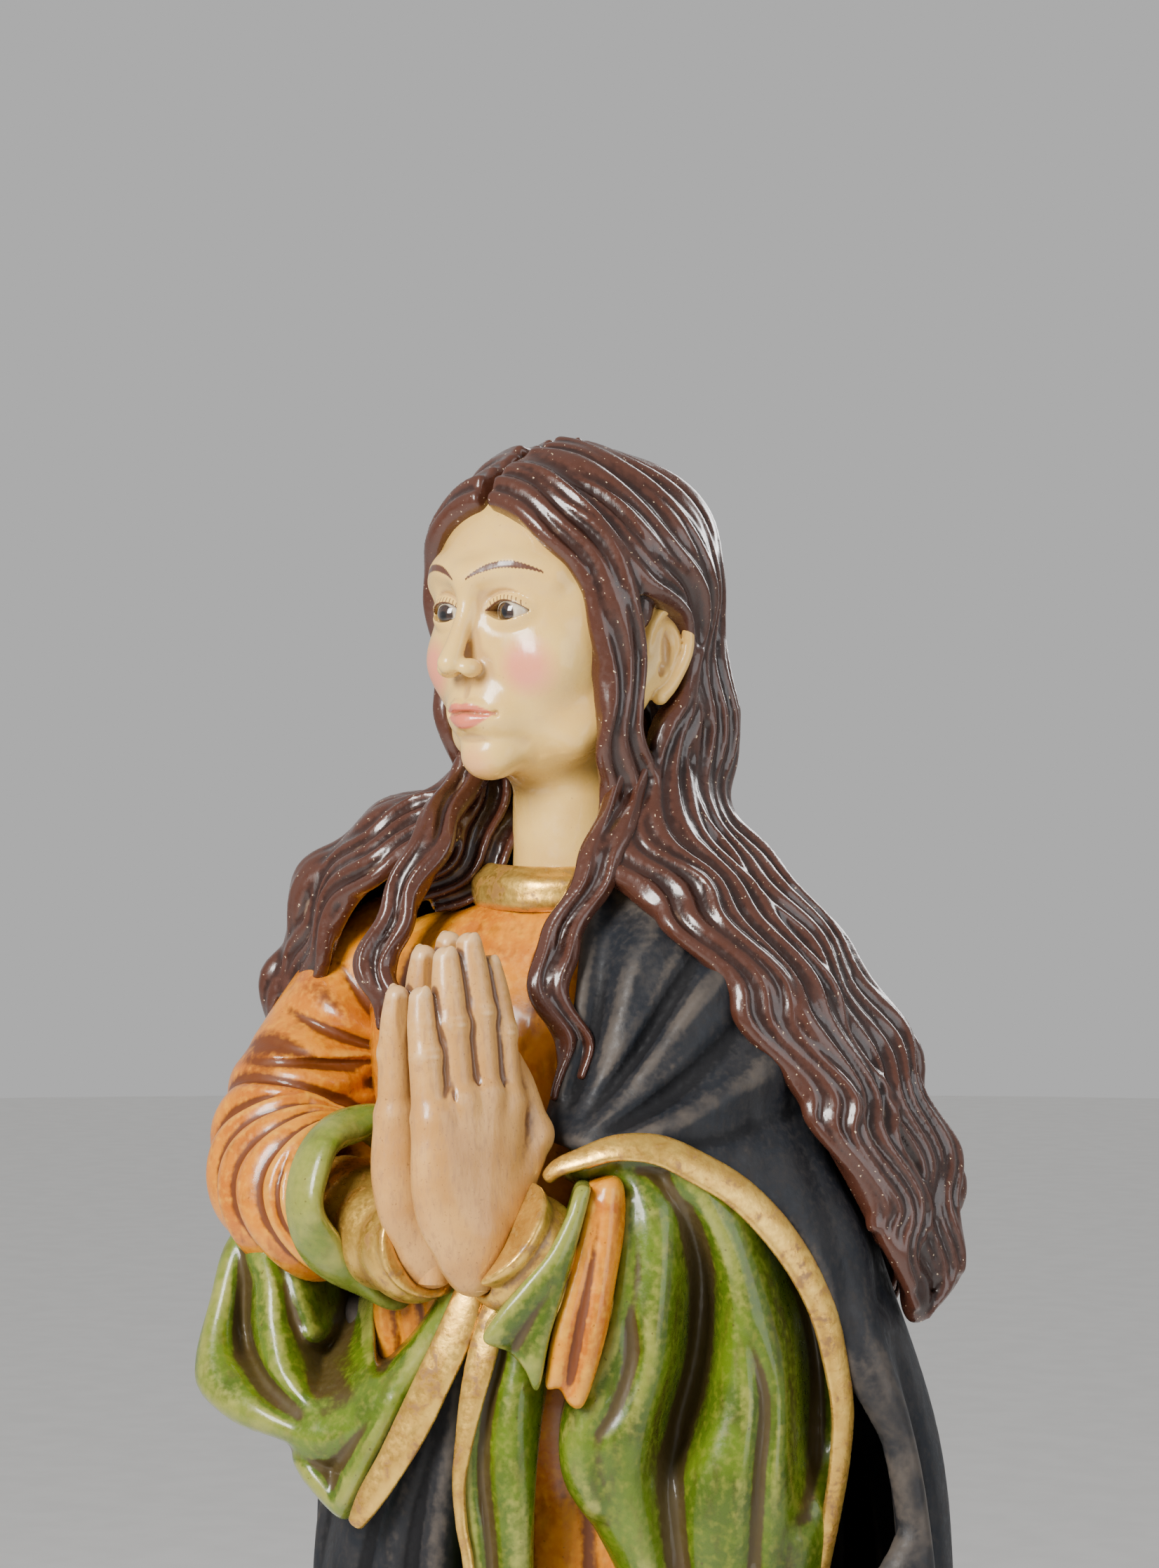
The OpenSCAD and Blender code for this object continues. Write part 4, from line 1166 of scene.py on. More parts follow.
def ringed(stations, depth, rings, start, slant=1.2, count=260):
    """A sleeve whose folds run round it, close together where it bends."""
    sides = 120
    p = curve(stations, count)
    path, r = p[:, :3], p[:, 3]
    tangent = unit(np.gradient(path, axis=0))
    up = unit(np.cross(np.cross(tangent, (0, 0, 1.0)), tangent) + (0, 0, 1e-6))
    across_way = np.cross(tangent, up)
    a = np.linspace(0, 2 * math.pi, sides, endpoint=False)
    t = np.linspace(0, 1, count)
    run = (t[:, None] - start) / (1 - start)
    wobble = 0.5 * np.sin(a * 2 + 1.3) + 0.35 * np.sin(a * 3 + t[:, None] * 9)
    ring = pleat(2 * math.pi * rings * run + wobble * slant, 1.15)
    ease = np.clip(run / 0.25, 0, 1) * np.clip((1.03 - run) / 0.12, 0.35, 1)
    outer = 0.72 + 0.28 * np.cos(a - 3.6)
    swell = r[:, None] + depth * ring * ease * outer
    rings3 = (path[:, None] + swell[..., None] * (np.cos(a)[None, :, None] * across_way[:, None]
              + np.sin(a)[None, :, None] * up[:, None]))
    return rings3.reshape(-1, 3), ring_quads(count, sides)


def upper_sleeve(x, y, z):
    """Long folds from the shoulder that bend round into the crook of the right elbow."""
    right, near = as_seen(x, y)
    far = np.hypot(right + 62, (z - 742) * 0.9)
    angle = np.arctan2(z - 742, right + 62)
    share = np.clip((z - 722) / 26, 0, 1) * np.clip((806 - z) / 20, 0, 1) * np.clip((near + 30) / 30, 0, 1)
    share = share * np.clip((far - 6) / 16, 0, 1)
    return -share * 4.0 * pleat(11.5 * angle + 0.03 * far + 0.8)


def make_right_sleeve():
    f = Field((-158, -130, 640), (-20, 40, 812), 1.0)
    f.add_mesh(*ringed(RIGHT_ARM, 4.8, 8, 0.38, slant=2.2))
    f.shift((-158, -130, 700), (-20, 40, 812), upper_sleeve)
    end = np.array(RIGHT_ARM)[-1, :3]
    f.cut(rope([end, end + (28, -12, 0)], 24), 2)
    f.blur()
    carve("right_sleeve", f, TUNIC, ("right_sleeve",), 3.0)


STRIP_ORANGE = [
    (10, 701), (23, 703), (25, 686), (21, 661), (17, 640), (9, 616), (3, 616), (-1, 623), (-6, 623),
    (-4, 643), (2, 664), (8, 686)]
STRIP_ORANGE_FOLDS = [
    [(18, 116, 699, 6, 4), (16, 119, 674, 6, 4), (12, 121, 646, 6, 4), (7, 120, 619, 6, 4)],
    [(11, 118, 692, 6, 4), (6, 121, 668, 6, 4), (0, 123, 644, 6, 4), (-3, 122, 625, 6, 4)]]
STRIP_GREEN = [
    (12, 701), (8, 685), (2, 664), (-4, 644), (-9, 622), (-14, 631), (-21, 638), (-30, 643), (-25, 653),
    (-15, 665), (-5, 677), (2, 690), (6, 701)]
STRIP_GREEN_FOLDS = [
    [(9, 122, 700, 9, 4), (1, 126, 677, 9, 4), (-6, 128, 656, 9, 4), (-11, 127, 630, 9, 4)],
    [(-29, 131, 645, 9, 4), (-17, 132, 660, 9, 4), (-5, 130, 674, 9, 4), (4, 125, 692, 9, 4)]]


def make_left_sleeve():
    """The arm itself, and the hanging edge of the sleeve that shows beside the loop."""
    f = Field((-30, -140, 600), (130, 30, 790), 1.1)
    f.add_mesh(*ringed(LEFT_ARM, 2.5, 7, 0.5))
    end = np.array(LEFT_ARM)[-1, :3]
    f.cut(rope([end, end + (-26, -28, 3)], 27), 2)
    f.add(drape(STRIP_ORANGE, STRIP_ORANGE_FOLDS, base=110, back=84, edge=2, k=1.2, fall=2), 2)
    f.blur()
    carve("left_sleeve", f, TUNIC, ("left_sleeve",), 3.0)


def cuff_mesh(centre, way, profile, droop, droop_at, wave):
    """A turned-back cuff: profile is (along, radius) from inside the sleeve, round the mouth and back."""
    way = unit(np.array(way, float))
    side = unit(np.cross(way, (0, 0, 1.0)))
    up = np.cross(side, way)
    a = np.linspace(0, 2 * math.pi, 96, endpoint=False)
    p = curve(profile, 26)
    t = np.linspace(0, 1, len(p))[:, None]
    mouth = np.sin(math.pi * np.clip(t, 0, 1)) ** 2
    drop = droop * np.exp(-(((a - droop_at + math.pi) % (2 * math.pi) - math.pi) / 0.42) ** 2)
    r = p[:, 1:2] + mouth * drop + wave * mouth * (np.sin(3 * a + 0.7) + 0.5 * np.sin(7 * a + 2))
    z = p[:, :1] + mouth * (0.45 * drop + 1.2 * np.sin(2 * a + 2))
    grid = (np.array(centre) + z[..., None] * way + r[..., None] * (np.cos(a)[None, :, None] * side
            + np.sin(a)[None, :, None] * up))
    return np.concatenate([grid, grid[:, :1]], 1)


def make_cuffs():
    f = Field((-110, -140, 635), (10, -40, 750), 0.9)
    way = seen((0.72, 0.69, 0.0))
    profile = [(-6, 24), (4, 25), (11, 27.5), (15, 31), (13, 34.5), (6, 36), (-2, 34)]
    f.add_mesh(*slab(cuff_mesh(seen((-84, 54, 691)), way, profile, 10, -1.75, 2.4), 3.0))
    f.blur()
    carve("right_cuff", f, LINING, ("right_cuff",), 1.8)
    strip = drape(STRIP_GREEN, STRIP_GREEN_FOLDS, base=118, back=92, edge=2, k=1.2, fall=2)
    make_lining("left_cuff", strip, "left_cuff", 0.9, span=3.0)


def make_undersleeves():
    for side, name, wrist, depth, low, high in (
            (RIGHT, "right_undersleeve", RIGHT_WRIST, 1.6, (-86, -140, 645), (24, -50, 715)),
            (LEFT, "left_undersleeve", LEFT_WRIST, 1.8, (0, -150, 615), (96, -40, 715))):
        f = Field(low, high, 0.9)
        f.add_mesh(*ringed(wrist, depth, 4, 0.0, slant=0.8, count=120))
        f.cut(hand_room(side))
        f.blur()
        f.cut(palm_side(side))
        carve(name, f, GILT, (name,))


PALM = [egg((-2.5, 0, 34), (9.6, 26, 33)), egg((-1, 0, 4), (12, 18, 21)), egg((-3, -15, 26), (9, 11, 26)),
        rope([(-1, 0, 4), (-1, 0, -11)], (10, 8.5))]
PALM_BLENDS = (0, 8, 6, 5)
PALM_GAP = 0.22                 # room in mm that each hand keeps from the palm plane
HEEL_ROOM = 0.6                 # room in mm round each hand's heel


def in_hand(side):
    """Turns distances in a hand's own frame (out of the palm, to the thumb, up) into the figure's."""
    c, s = math.cos(HANDS_TURN), math.sin(HANDS_TURN)

    def local(x, y, z):
        x, y = x - HANDS_MID[0], y - HANDS_MID[1]
        return side * (c * x + s * y) - HAND_OFF, c * y - s * x, z - HEEL_Z
    return local


def hand_room(side):
    """The room that one hand's heel needs, kept open upwards so that it can be lifted out."""
    local = in_hand(side)

    def distance(x, y, z):
        x, y, z = local(x, y, z)
        z = np.minimum(z, 32)
        best = PALM[0][2](x, y, z)
        for shape, k in zip(PALM[1:], PALM_BLENDS[1:]):
            best = smin(best, shape[2](x, y, z), k)
        return best - HEEL_ROOM
    c = np.array((*HANDS_MID, HEEL_Z + 40))
    return c - 70, c + 70, distance


def palm_side(side):
    local = in_hand(side)

    def distance(x, y, z):
        x, y, z = local(x, y, z)
        return x + HAND_OFF - 0.25 + 0 * z
    c = np.array((*HANDS_MID, HEEL_Z))
    return c - 90, c + 90, distance


FINGERS = [
    # little, ring, middle, index: knuckle, middle joint, end joint, tip, then their radii
    ([(-4.5, -18, 50), (-6.2, -19.5, 74), (-7.6, -20, 87), (-8.6, -19.6, 96)], (7.3, 6.4, 5.7, 4.8)),
    ([(-3.2, -6.5, 56), (-5.4, -7.6, 86), (-7.0, -7.9, 101), (-8.2, -7.6, 111)], (7.8, 7.0, 6.3, 5.2)),
    ([(-2.6, 5.5, 58), (-5.0, 4.8, 90), (-6.8, 4.1, 106), (-8.0, 3.7, 116)], (8.0, 7.2, 6.5, 5.3)),
    ([(-3.6, 17, 55), (-5.6, 16.4, 82), (-7.2, 15.2, 97), (-8.4, 14, 107)], (7.8, 7.0, 6.2, 5.1))]


def hand_field():
    """One hand in its own frame: palm, fingers, thumb, the gaps between the fingers, nails and knuckles."""
    f = Field((-15, -36, -24), (18, 50, 126), 0.6)
    for shape, k in zip(PALM, PALM_BLENDS):
        f.add(shape, k)
    for bones, radii in FINGERS:
        f.add(rope([(0, bones[0][1] * 0.45, 8), bones[0]], (8, radii[0] + 0.8)), 5)
    for bones, radii in FINGERS:
        f.add(rope(bones, radii, 16), 1.5)
        f.add(egg(bones[0] + np.array((3.2, 0, 0)), (4.6, 5, 6)), 5)
        f.add(egg(bones[1] + np.array((1.4, 0, 0)), (radii[1] * 0.86, radii[1] * 0.98, 6)), 2.5)
    f.add(rope([(-3, 14, 14), (-4, 30, 38), (-7, 29, 58), (-9, 25, 70)], (10.5, 8.2, 6.4, 5.0), 16), 5)
    f.add(egg((-3, 34, 41), (6.4, 7, 8)), 3)
    for low, high in zip(FINGERS[:-1], FINGERS[1:]):
        a, b = np.array(low[0]), np.array(high[0])
        mid = (a + b) / 2
        line = np.vstack([(4.5, mid[0][1], mid[0][2] - 6), (3.2, mid[0][1], mid[0][2] + 4),
                          (2.4, mid[1][1], mid[1][2]), (0.0, mid[2][1], mid[2][2])])
        f.cut(rope(line, (0.3, 0.6, 0.5, 0.4), 12), 1.4)
    for bones, radii in FINGERS:
        tip = np.array(bones[3])
        nail = tip + (radii[3] * 0.62, 0, 0.2)
        f.add(egg(nail, (1.5, radii[3] * 0.66, 5.6)), 0.3)
        for c, r in ((np.array(bones[1]), radii[1]), (np.array(bones[2]), radii[2])):
            for step in (-1.1, 1.1):
                f.cut(rope([c + (r * 0.97, -r * 0.55, step), c + (r * 1.12, 0, step * 1.5),
                            c + (r * 0.97, r * 0.55, step)], 0.35, 6), 0.8)
    f.cut(egg((-15, 2, 40), (5, 17, 28)), 3)
    f.blur()
    return f


def make_hands():
    """Both hands from one carving; the right one is mirrored and leans, so the fingers don't quite meet."""
    f = hand_field()
    lean, pivot = math.radians(9), 27
    for side, name in ((LEFT, "left"), (RIGHT, "right")):
        points, quads, relief = f.mesh(2.0)
        p = points.copy()
        p[:, 0] = np.maximum(p[:, 0] + HAND_OFF, PALM_GAP)
        if side == RIGHT:
            q = p - (0, pivot, 0)
            p[:, 0] = q[:, 0] * math.cos(lean) - q[:, 1] * math.sin(lean)
            p[:, 1] = q[:, 1] * math.cos(lean) + q[:, 0] * math.sin(lean) + pivot
            p[:, 0] += max(PALM_GAP - p[:, 0].min(), 0)
            quads = quads[:, ::-1]
        p[:, 0] *= side
        world = turned(p, HANDS_TURN) + (*HANDS_MID, HEEL_Z)
        piece(f"{name}_hand_carved", world, quads[:, ::-1], HAND, (f"{name}_hand",), f"{name}_hand_body",
              relief=relief)


# ---------------------------------------------------------------- cloth that faces the viewer

def near_line(u, z, line):
    """Distance in (u, z) from each grid point to a smooth line, and the line's other columns there."""
    p = curve(line, 40)
    best = np.full(u.shape, 1e9)
    found = np.zeros(u.shape + (p.shape[1],))
    for a, b in zip(p[:-1], p[1:]):
        du, dz = b[0] - a[0], b[2] - a[2]
        t = np.clip(((u - a[0]) * du + (z - a[2]) * dz) / max(du * du + dz * dz, 1e-9), 0, 1)
        d = np.hypot(u - a[0] - t * du, z - a[2] - t * dz)
        closer = d < best
        best = np.where(closer, d, best)
        found[closer] = (a + t[..., None] * (b - a))[closer]
    return best, found


def outline_distance(u, z, outline):
    """Signed distance in (u, z) to a smooth closed outline, below 0 inside it."""
    p = curve([*outline, outline[0]], 200)
    best = np.full(u.shape, 1e9)
    inside = np.zeros(u.shape, bool)
    for a, b in zip(p[:-1], p[1:]):
        du, dz = b - a
        t = np.clip(((u - a[0]) * du + (z - a[1]) * dz) / max(du * du + dz * dz, 1e-9), 0, 1)
        best = np.minimum(best, np.hypot(u - a[0] - t * du, z - a[1] - t * dz))
        if dz:
            crosses = ((a[1] > z) != (b[1] > z)) & (u < a[0] + du * (z - a[1]) / dz)
            inside ^= crosses
    return np.where(inside, -best, best)


def drape(outline, ridges, hollows=(), *, base, back, fall, k=2.0, edge=3.0, curl=0.0):
    """Carved cloth inside an outline in (u, z): folds with round crests and sharp valleys over a base.

    Ridges are (u, v, z, half width, drop at that width); hollows are (u, v, z, half width, depth).
    """
    o = np.array(outline, float)
    first, last = o.min(0) - 6, o.max(0) + 6
    gu, gz = np.arange(first[0], last[0] + 1), np.arange(first[1], last[1] + 1)
    u, z = np.meshgrid(gu, gz, indexing="ij")
    height = np.full(u.shape, base, float)
    for line in ridges:
        d, at = near_line(u, z, line)
        fold = at[..., 1] - at[..., 4] * (d / at[..., 3]) ** 2
        height = -smin(-height, -fold, k)
    for line in hollows:
        d, at = near_line(u, z, line)
        height = height - at[..., 4] * np.exp(-(d / at[..., 3]) ** 2)
    rim = outline_distance(u, z, outline)
    rear = np.minimum(back + curl * np.exp(np.minimum(rim, 0) / 16), height - 12)
    height = height - fall * np.exp(np.minimum(rim, 0) / 4)
    du, dz = np.gradient(height)
    steep = 1 / np.sqrt(1 + du * du + dz * dz)

    def look(table, i, j, f, g):
        return (table[i, j] * (1 - f) * (1 - g) + table[i + 1, j] * f * (1 - g)
                + table[i, j + 1] * (1 - f) * g + table[i + 1, j + 1] * f * g)

    def distance(x, y, z):
        right, near = as_seen(x, y)
        fu, fz = right - gu[0], z - gz[0]
        i = np.clip(np.floor(fu).astype(int), 0, len(gu) - 2)
        j = np.clip(np.floor(fz).astype(int), 0, len(gz) - 2)
        i, j, fu, fz = np.broadcast_arrays(i, j, np.clip(fu - i, 0, 1), np.clip(fz - j, 0, 1))
        face = (near - look(height, i, j, fu, fz)) * look(steep, i, j, fu, fz)
        side = look(rim, i, j, fu, fz)
        d = -smin(-face, -side, edge)
        return np.maximum(d, (look(rear, i, j, fu, fz) - near) * (0.6 if curl else 1))

    top = height[rim < 0].max()
    corners = seen([(a, b, h) for a in (first[0], last[0]) for b in (back, top)
                    for h in (first[1], last[1])])
    return corners.min(0), corners.max(0), distance


def make_lining(name, shape, node, voxel, trunk_gap=None, span=4.0):
    """A carved piece of green lining; trunk_gap is how far under the tunic it may reach."""
    f = Field(shape[0] - 6, shape[1] + 6, voxel)
    f.add(shape, 2.0)
    if trunk_gap:
        inside = [(z, x, y, wide - trunk_gap, deep - trunk_gap) for z, x, y, wide, deep in TRUNK]
        f.cut(body(inside), 1)
    f.blur()
    carve(name, f, LINING, (node,), span)


def make_border(name, line, face):
    """A gilded band along the edge of the cloth: line is (u, v, z, half width), face where it looks."""
    count = 110
    p = curve(line, count)
    path = seen(p[:, :3])
    f = Field(path.min(0) - 14, path.max(0) + 14, 0.9)
    f.add_mesh(*tube(path, p[:, 3], np.full(count, 2.6), seen(curve(face, count)), 24))
    f.blur()
    carve(name, f, GILT, ())


LOOP_OUTLINE = [
    (-5, 703), (7, 713), (25, 720), (41, 718), (56, 711), (72, 700), (87, 686), (99, 668), (108, 645),
    (113, 626), (115, 597), (112, 572), (106, 543), (102, 514), (96, 470), (48, 470), (41, 505), (25, 538),
    (13, 563), (2, 580), (-1, 597), (2, 614), (13, 634), (18, 658), (21, 680), (22, 696), (7, 697)]
LOOP_RIDGES = [
    [(25, 101, 704, 12, 7), (34, 107, 686, 14, 8), (37, 110, 662, 16, 9), (32, 111, 634, 19, 9),
     (23, 111, 610, 22, 9), (22, 109, 591, 20, 9), (29, 105, 569, 17, 9), (35, 101, 550, 14, 9),
     (42, 96, 515, 13, 9), (50, 92, 470, 12, 9)],
    [(25, 106, 692, 5, 4), (25, 109, 668, 6, 4), (21, 110, 643, 7, 4), (12, 110, 622, 9, 5)],
    [(15, 111, 615, 9, 5), (8, 110, 598, 10, 5), (14, 107, 577, 9, 5)],
    [(50, 103, 704, 12, 7), (58, 102, 685, 14, 8), (66, 99, 663, 16, 9), (72, 98, 636, 18, 9),
     (72, 99, 611, 20, 9), (67, 101, 587, 22, 9), (64, 99, 562, 22, 9), (66, 94, 520, 20, 9),
     (72, 90, 470, 18, 9)],
    [(67, 98, 694, 7, 6), (79, 92, 672, 8, 7), (87, 89, 647, 9, 7), (89, 87, 622, 10, 7),
     (88, 87, 594, 11, 7), (89, 85, 562, 12, 7), (88, 80, 521, 12, 7), (86, 76, 470, 12, 7)],
    [(9, 101, 707, 5, 4), (25, 102, 711, 6, 4), (41, 101, 710, 6, 4), (56, 98, 702, 6, 4),
     (70, 92, 690, 6, 4), (83, 86, 674, 5, 4), (94, 81, 658, 5, 4), (101, 77, 639, 5, 4),
     (105, 73, 616, 5, 4), (106, 70, 591, 5, 4), (104, 68, 565, 5, 4), (100, 66, 540, 5, 4),
     (98, 62, 500, 5, 4)]]
LOOP_HOLLOWS = [
    [(50, 95, 689, 5, 3), (53, 95, 672, 7, 14), (54, 95, 654, 8, 24), (52, 95, 629, 8, 27),
     (45, 95, 601, 8, 25), (41, 95, 580, 7, 12), (44, 95, 545, 6, 6), (52, 95, 480, 5, 8)],
    [(80, 90, 684, 5, 5), (93, 80, 658, 8, 16), (101, 75, 632, 9, 24), (102, 75, 607, 9, 26),
     (100, 75, 585, 8, 16), (98, 75, 567, 6, 6)],
    [(26, 110, 652, 3, 1), (28, 110, 635, 4, 4), (22, 110, 615, 4, 3), (14, 110, 603, 3, 1)],
    [(74, 100, 640, 3, 1), (80, 100, 615, 4, 4), (78, 100, 585, 4, 5), (76, 100, 550, 4, 3)]]
LOOP_BORDER = [
    (-6, 100, 702, 3), (-1, 102, 707, 4.5), (9, 104, 711, 5.5), (22, 105, 715, 6.5), (38, 104, 714, 7.5),
    (53, 101, 707, 8), (69, 96, 697, 8), (83, 91, 683, 8), (95, 86, 666, 7.5), (104, 81, 647, 7),
    (109, 77, 627, 6.5), (112, 74, 607, 6), (111, 71, 586, 5.5), (108, 68, 565, 5), (104, 66, 543, 4.5),
    (100, 64, 517, 4), (97, 60, 480, 3)]


def make_turnback():
    """The lining of the mantle's edge over the left forearm, in deep hanging folds."""
    loop = drape(LOOP_OUTLINE, LOOP_RIDGES, LOOP_HOLLOWS, base=62, back=16, fall=5, curl=44)
    make_lining("turnback_lining", loop, "mantle_turnback", 1.1, 2)
    face = [(-0.2, 0.7, 0.7), (0.1, 0.75, 0.6), (0.4, 0.8, 0.35), (0.6, 0.75, 0.1), (0.6, 0.75, 0)]
    make_border("turnback_border", LOOP_BORDER, face)


SWAG_OUTLINE = [
    (-135, 674), (-141, 663), (-145, 645), (-150, 623), (-148, 609), (-132, 598), (-111, 592), (-108, 584),
    (-102, 575), (-89, 563), (-82, 565), (-71, 583), (-57, 607), (-47, 630), (-34, 655), (-37, 668),
    (-44, 664), (-52, 648), (-62, 634), (-73, 624), (-76, 640), (-76, 660), (-84, 676), (-101, 673),
    (-121, 675)]
SWAG_RIDGES = [
    [(-135, 24, 667, 12, 8), (-140, 31, 648, 13, 8), (-143, 39, 630, 14, 9), (-140, 48, 616, 14, 9),
     (-128, 60, 605, 14, 9), (-108, 70, 598, 14, 9), (-89, 78, 597, 13, 9), (-70, 86, 611, 12, 9),
     (-55, 90, 631, 11, 8), (-42, 93, 655, 10, 8)],
    [(-123, 32, 669, 8, 6), (-118, 42, 653, 8, 6), (-116, 50, 635, 8, 6), (-111, 60, 618, 8, 6),
     (-98, 69, 606, 8, 6), (-83, 75, 612, 8, 6), (-68, 80, 626, 8, 6), (-51, 86, 652, 8, 6)],
    [(-110, 38, 667, 8, 6), (-105, 45, 650, 8, 6), (-100, 49, 635, 7, 6)],
    [(-109, 66, 590, 8, 6), (-100, 72, 579, 8, 6), (-88, 77, 567, 7, 6)],
    [(-66, 88, 612, 6, 5), (-75, 86, 594, 6, 5), (-85, 80, 572, 6, 5)]]
SWAG_HOLLOWS = [
    [(-105, 60, 665, 8, 6), (-94, 60, 652, 11, 16), (-87, 60, 636, 12, 20), (-92, 60, 621, 9, 12)],
    [(-128, 50, 655, 4, 2), (-130, 50, 634, 4, 6), (-122, 60, 616, 4, 6), (-106, 68, 604, 4, 3)]]
SWAG_BORDER = [
    (-34, 92, 667, 5), (-37, 95, 654, 7), (-43, 96, 638, 8), (-50, 95, 623, 8), (-58, 92, 606, 8),
    (-67, 89, 589, 7), (-76, 85, 574, 6), (-82, 81, 563, 3.5)]


def make_swag():
    """The lining of the mantle's other edge, drawn up in a loop over the right hip."""
    swag = drape(SWAG_OUTLINE, SWAG_RIDGES, SWAG_HOLLOWS, base=22, back=-24, fall=5, curl=52)
    make_lining("swag_lining", swag, "mantle_swag", 1.1, 1)
    make_border("swag_border", SWAG_BORDER, [(-0.25, 0.95, 0.2)] * 3)


FRONT_OUTLINE = [
    (-22, 665), (-8, 641), (-5, 623), (-8, 602), (-10, 580), (-11, 549), (-10, 513), (-4, 400), (4, 260),
    (7, 140), (4, 74), (-10, 68), (-22, 74), (-28, 140), (-34, 260), (-36, 400), (-36, 511), (-37, 545),
    (-40, 567), (-42, 588), (-39, 610), (-33, 635), (-25, 663)]
FRONT_RIDGES = [
    [(-15, 99, 648, 8, 6), (-16, 102, 630, 9, 7), (-19, 104, 612, 10, 8), (-19, 104, 591, 11, 8),
     (-17, 103, 569, 11, 8), (-16, 101, 544, 11, 8), (-14, 101, 500, 11, 8), (-10, 106, 400, 12, 8),
     (-5, 111, 280, 13, 8), (-3, 115, 170, 13, 8), (-2, 118, 76, 13, 8)],
    [(-24, 98, 657, 5, 5), (-30, 100, 630, 6, 5), (-35, 99, 605, 6, 5), (-37, 98, 580, 7, 5),
     (-34, 97, 555, 7, 5), (-33, 97, 500, 7, 5), (-32, 102, 400, 7, 5), (-26, 108, 280, 7, 5),
     (-22, 112, 170, 7, 5), (-18, 115, 76, 7, 5)]]
FRONT_BORDER = [
    (-21, 97, 664, 4), (-26, 99, 651, 6), (-31, 101, 633, 6.5), (-35, 101, 616, 5.5), (-38, 100, 599, 4),
    (-40, 99, 583, 3), (-39, 98, 566, 2.5), (-36, 98, 546, 2.5), (-36, 99, 500, 3), (-35, 104, 400, 3),
    (-31, 110, 270, 3), (-26, 114, 165, 3.5), (-21, 117, 76, 3)]


def make_front_fall():
    """The mantle's front edge, from under the hands down to its hem, with its gilded border."""
    fall = drape(FRONT_OUTLINE, FRONT_RIDGES, base=80, back=60, fall=3)
    make_lining("front_lining", fall, "mantle_front", 1.2, 2)
    make_border("front_border", FRONT_BORDER, [(-0.35, 0.93, 0.1)] * 3)


# ---------------------------------------------------------------- mantle

MANTLE_FORM = [
    (65, 2, 8, 132, 108), (200, 6, 10, 136, 106), (360, 16, 14, 140, 103), (480, 21, 16, 140, 101),
    (580, 21, 16, 136, 97), (660, 11, 11, 124, 87), (730, 4, 5, 108, 74), (780, 1, 5, 98, 60),
    (806, 0, 6, 72, 47), (818, 0, 5, 46, 40), (824, 0, 5, 38, 34)]
COVER_HALF = math.radians(42)   # half the angle that the back board takes


def mantle_folds(angle, z):
    low = np.clip((730 - z) / 340, 0, 1)
    warped = angle + 0.10 * np.sin(2 * angle + z / 130) + 0.05 * np.sin(5 * angle - z / 90 + 1)
    deep = pleat(19 * warped + 1.0 + 0.5 * np.sin(z / 160), 1.0) * (0.008 + 0.044 * low)
    deep = deep + 0.016 * low * np.sin(4 * angle + z / 210 + 0.6)
    fine = 0.010 * low * np.sin(29 * angle + z / 70)
    return deep + fine


def front_edges(z):
    """Angles, from straight ahead to her left, between which the mantle is open in front."""
    left = np.interp(z, [62, 300, 440, 500, 560, 594, 640, 683, 700, 716, 760, 800],
                     [50, 52, 60, 80, 92, 91, 85, 75, 60, 22, 33, 39])
    right = np.interp(z, [62, 200, 460, 570, 605, 630, 660], [-8, 2, 5, 5, 0, -30, -80])
    return np.radians(left), np.radians(right)


def mantle_open(x, y, z):
    """Above 0 where the mantle is, in mm from its front edges."""
    angle = np.arctan2(x, -y)
    left, right = front_edges(z)
    middle = (left + right) / 2
    off = np.abs((angle - middle + math.pi) % (2 * math.pi) - math.pi) - (left - right) / 2
    return off * np.sqrt(x * x + y * y)


def wedge_behind(x, y, z):
    angle = np.arctan2(x, y)
    return (np.abs(angle) - COVER_HALF) * np.sqrt(x * x + y * y) + 0 * z


def whole(distance):
    return np.array((-400.0,) * 3), np.array((400, 400, 1100.0)), distance


def gathered(x, y, z):
    """Folds on the shoulder that fan out from where the cloth is held by the wrist."""
    right, near = as_seen(x, y)
    far = np.hypot(right + 4, z - 708)
    angle = np.arctan2(z - 708, right + 4)
    share = np.clip((far - 8) / 45, 0, 1) * np.clip((150 - far) / 60, 0, 1) * np.clip((near - 5) / 30, 0, 1)
    share = share * np.clip((angle - 0.02) / 0.2, 0, 1) * np.clip((2.0 - angle) / 0.3, 0, 1)
    bend = angle + 0.05 * np.sin(far / 21) + 0.04 * np.sin(angle * 7)
    return -share * (4.6 * pleat(16.5 * bend + 0.6) + 1.2 * np.sin(31 * bend + far / 30))


HIP_OUTLINE = [
    (-32, 652), (-37, 600), (-37, 540), (-36, 400), (-33, 250), (-28, 70), (-70, 66), (-112, 70),
    (-112, 240), (-108, 380), (-104, 500), (-100, 560), (-88, 590), (-70, 618), (-50, 645)]
HIP_RIDGES = [
    [(-38, 88, 640, 6, 5), (-43, 87, 600, 8, 6), (-48, 85, 560, 8, 7), (-53, 84, 480, 9, 7),
     (-55, 88, 380, 10, 7), (-54, 94, 250, 11, 7), (-50, 100, 74, 11, 7)],
    [(-46, 86, 628, 4, 5), (-55, 82, 590, 7, 6), (-64, 76, 555, 8, 7), (-71, 73, 480, 9, 7),
     (-76, 75, 380, 10, 7), (-78, 79, 250, 11, 7), (-77, 84, 74, 12, 7)],
    [(-58, 76, 606, 5, 5), (-72, 66, 575, 7, 6), (-83, 57, 540, 8, 7), (-91, 51, 470, 9, 7),
     (-97, 50, 360, 10, 7), (-101, 51, 230, 11, 7), (-102, 54, 74, 12, 7)]]


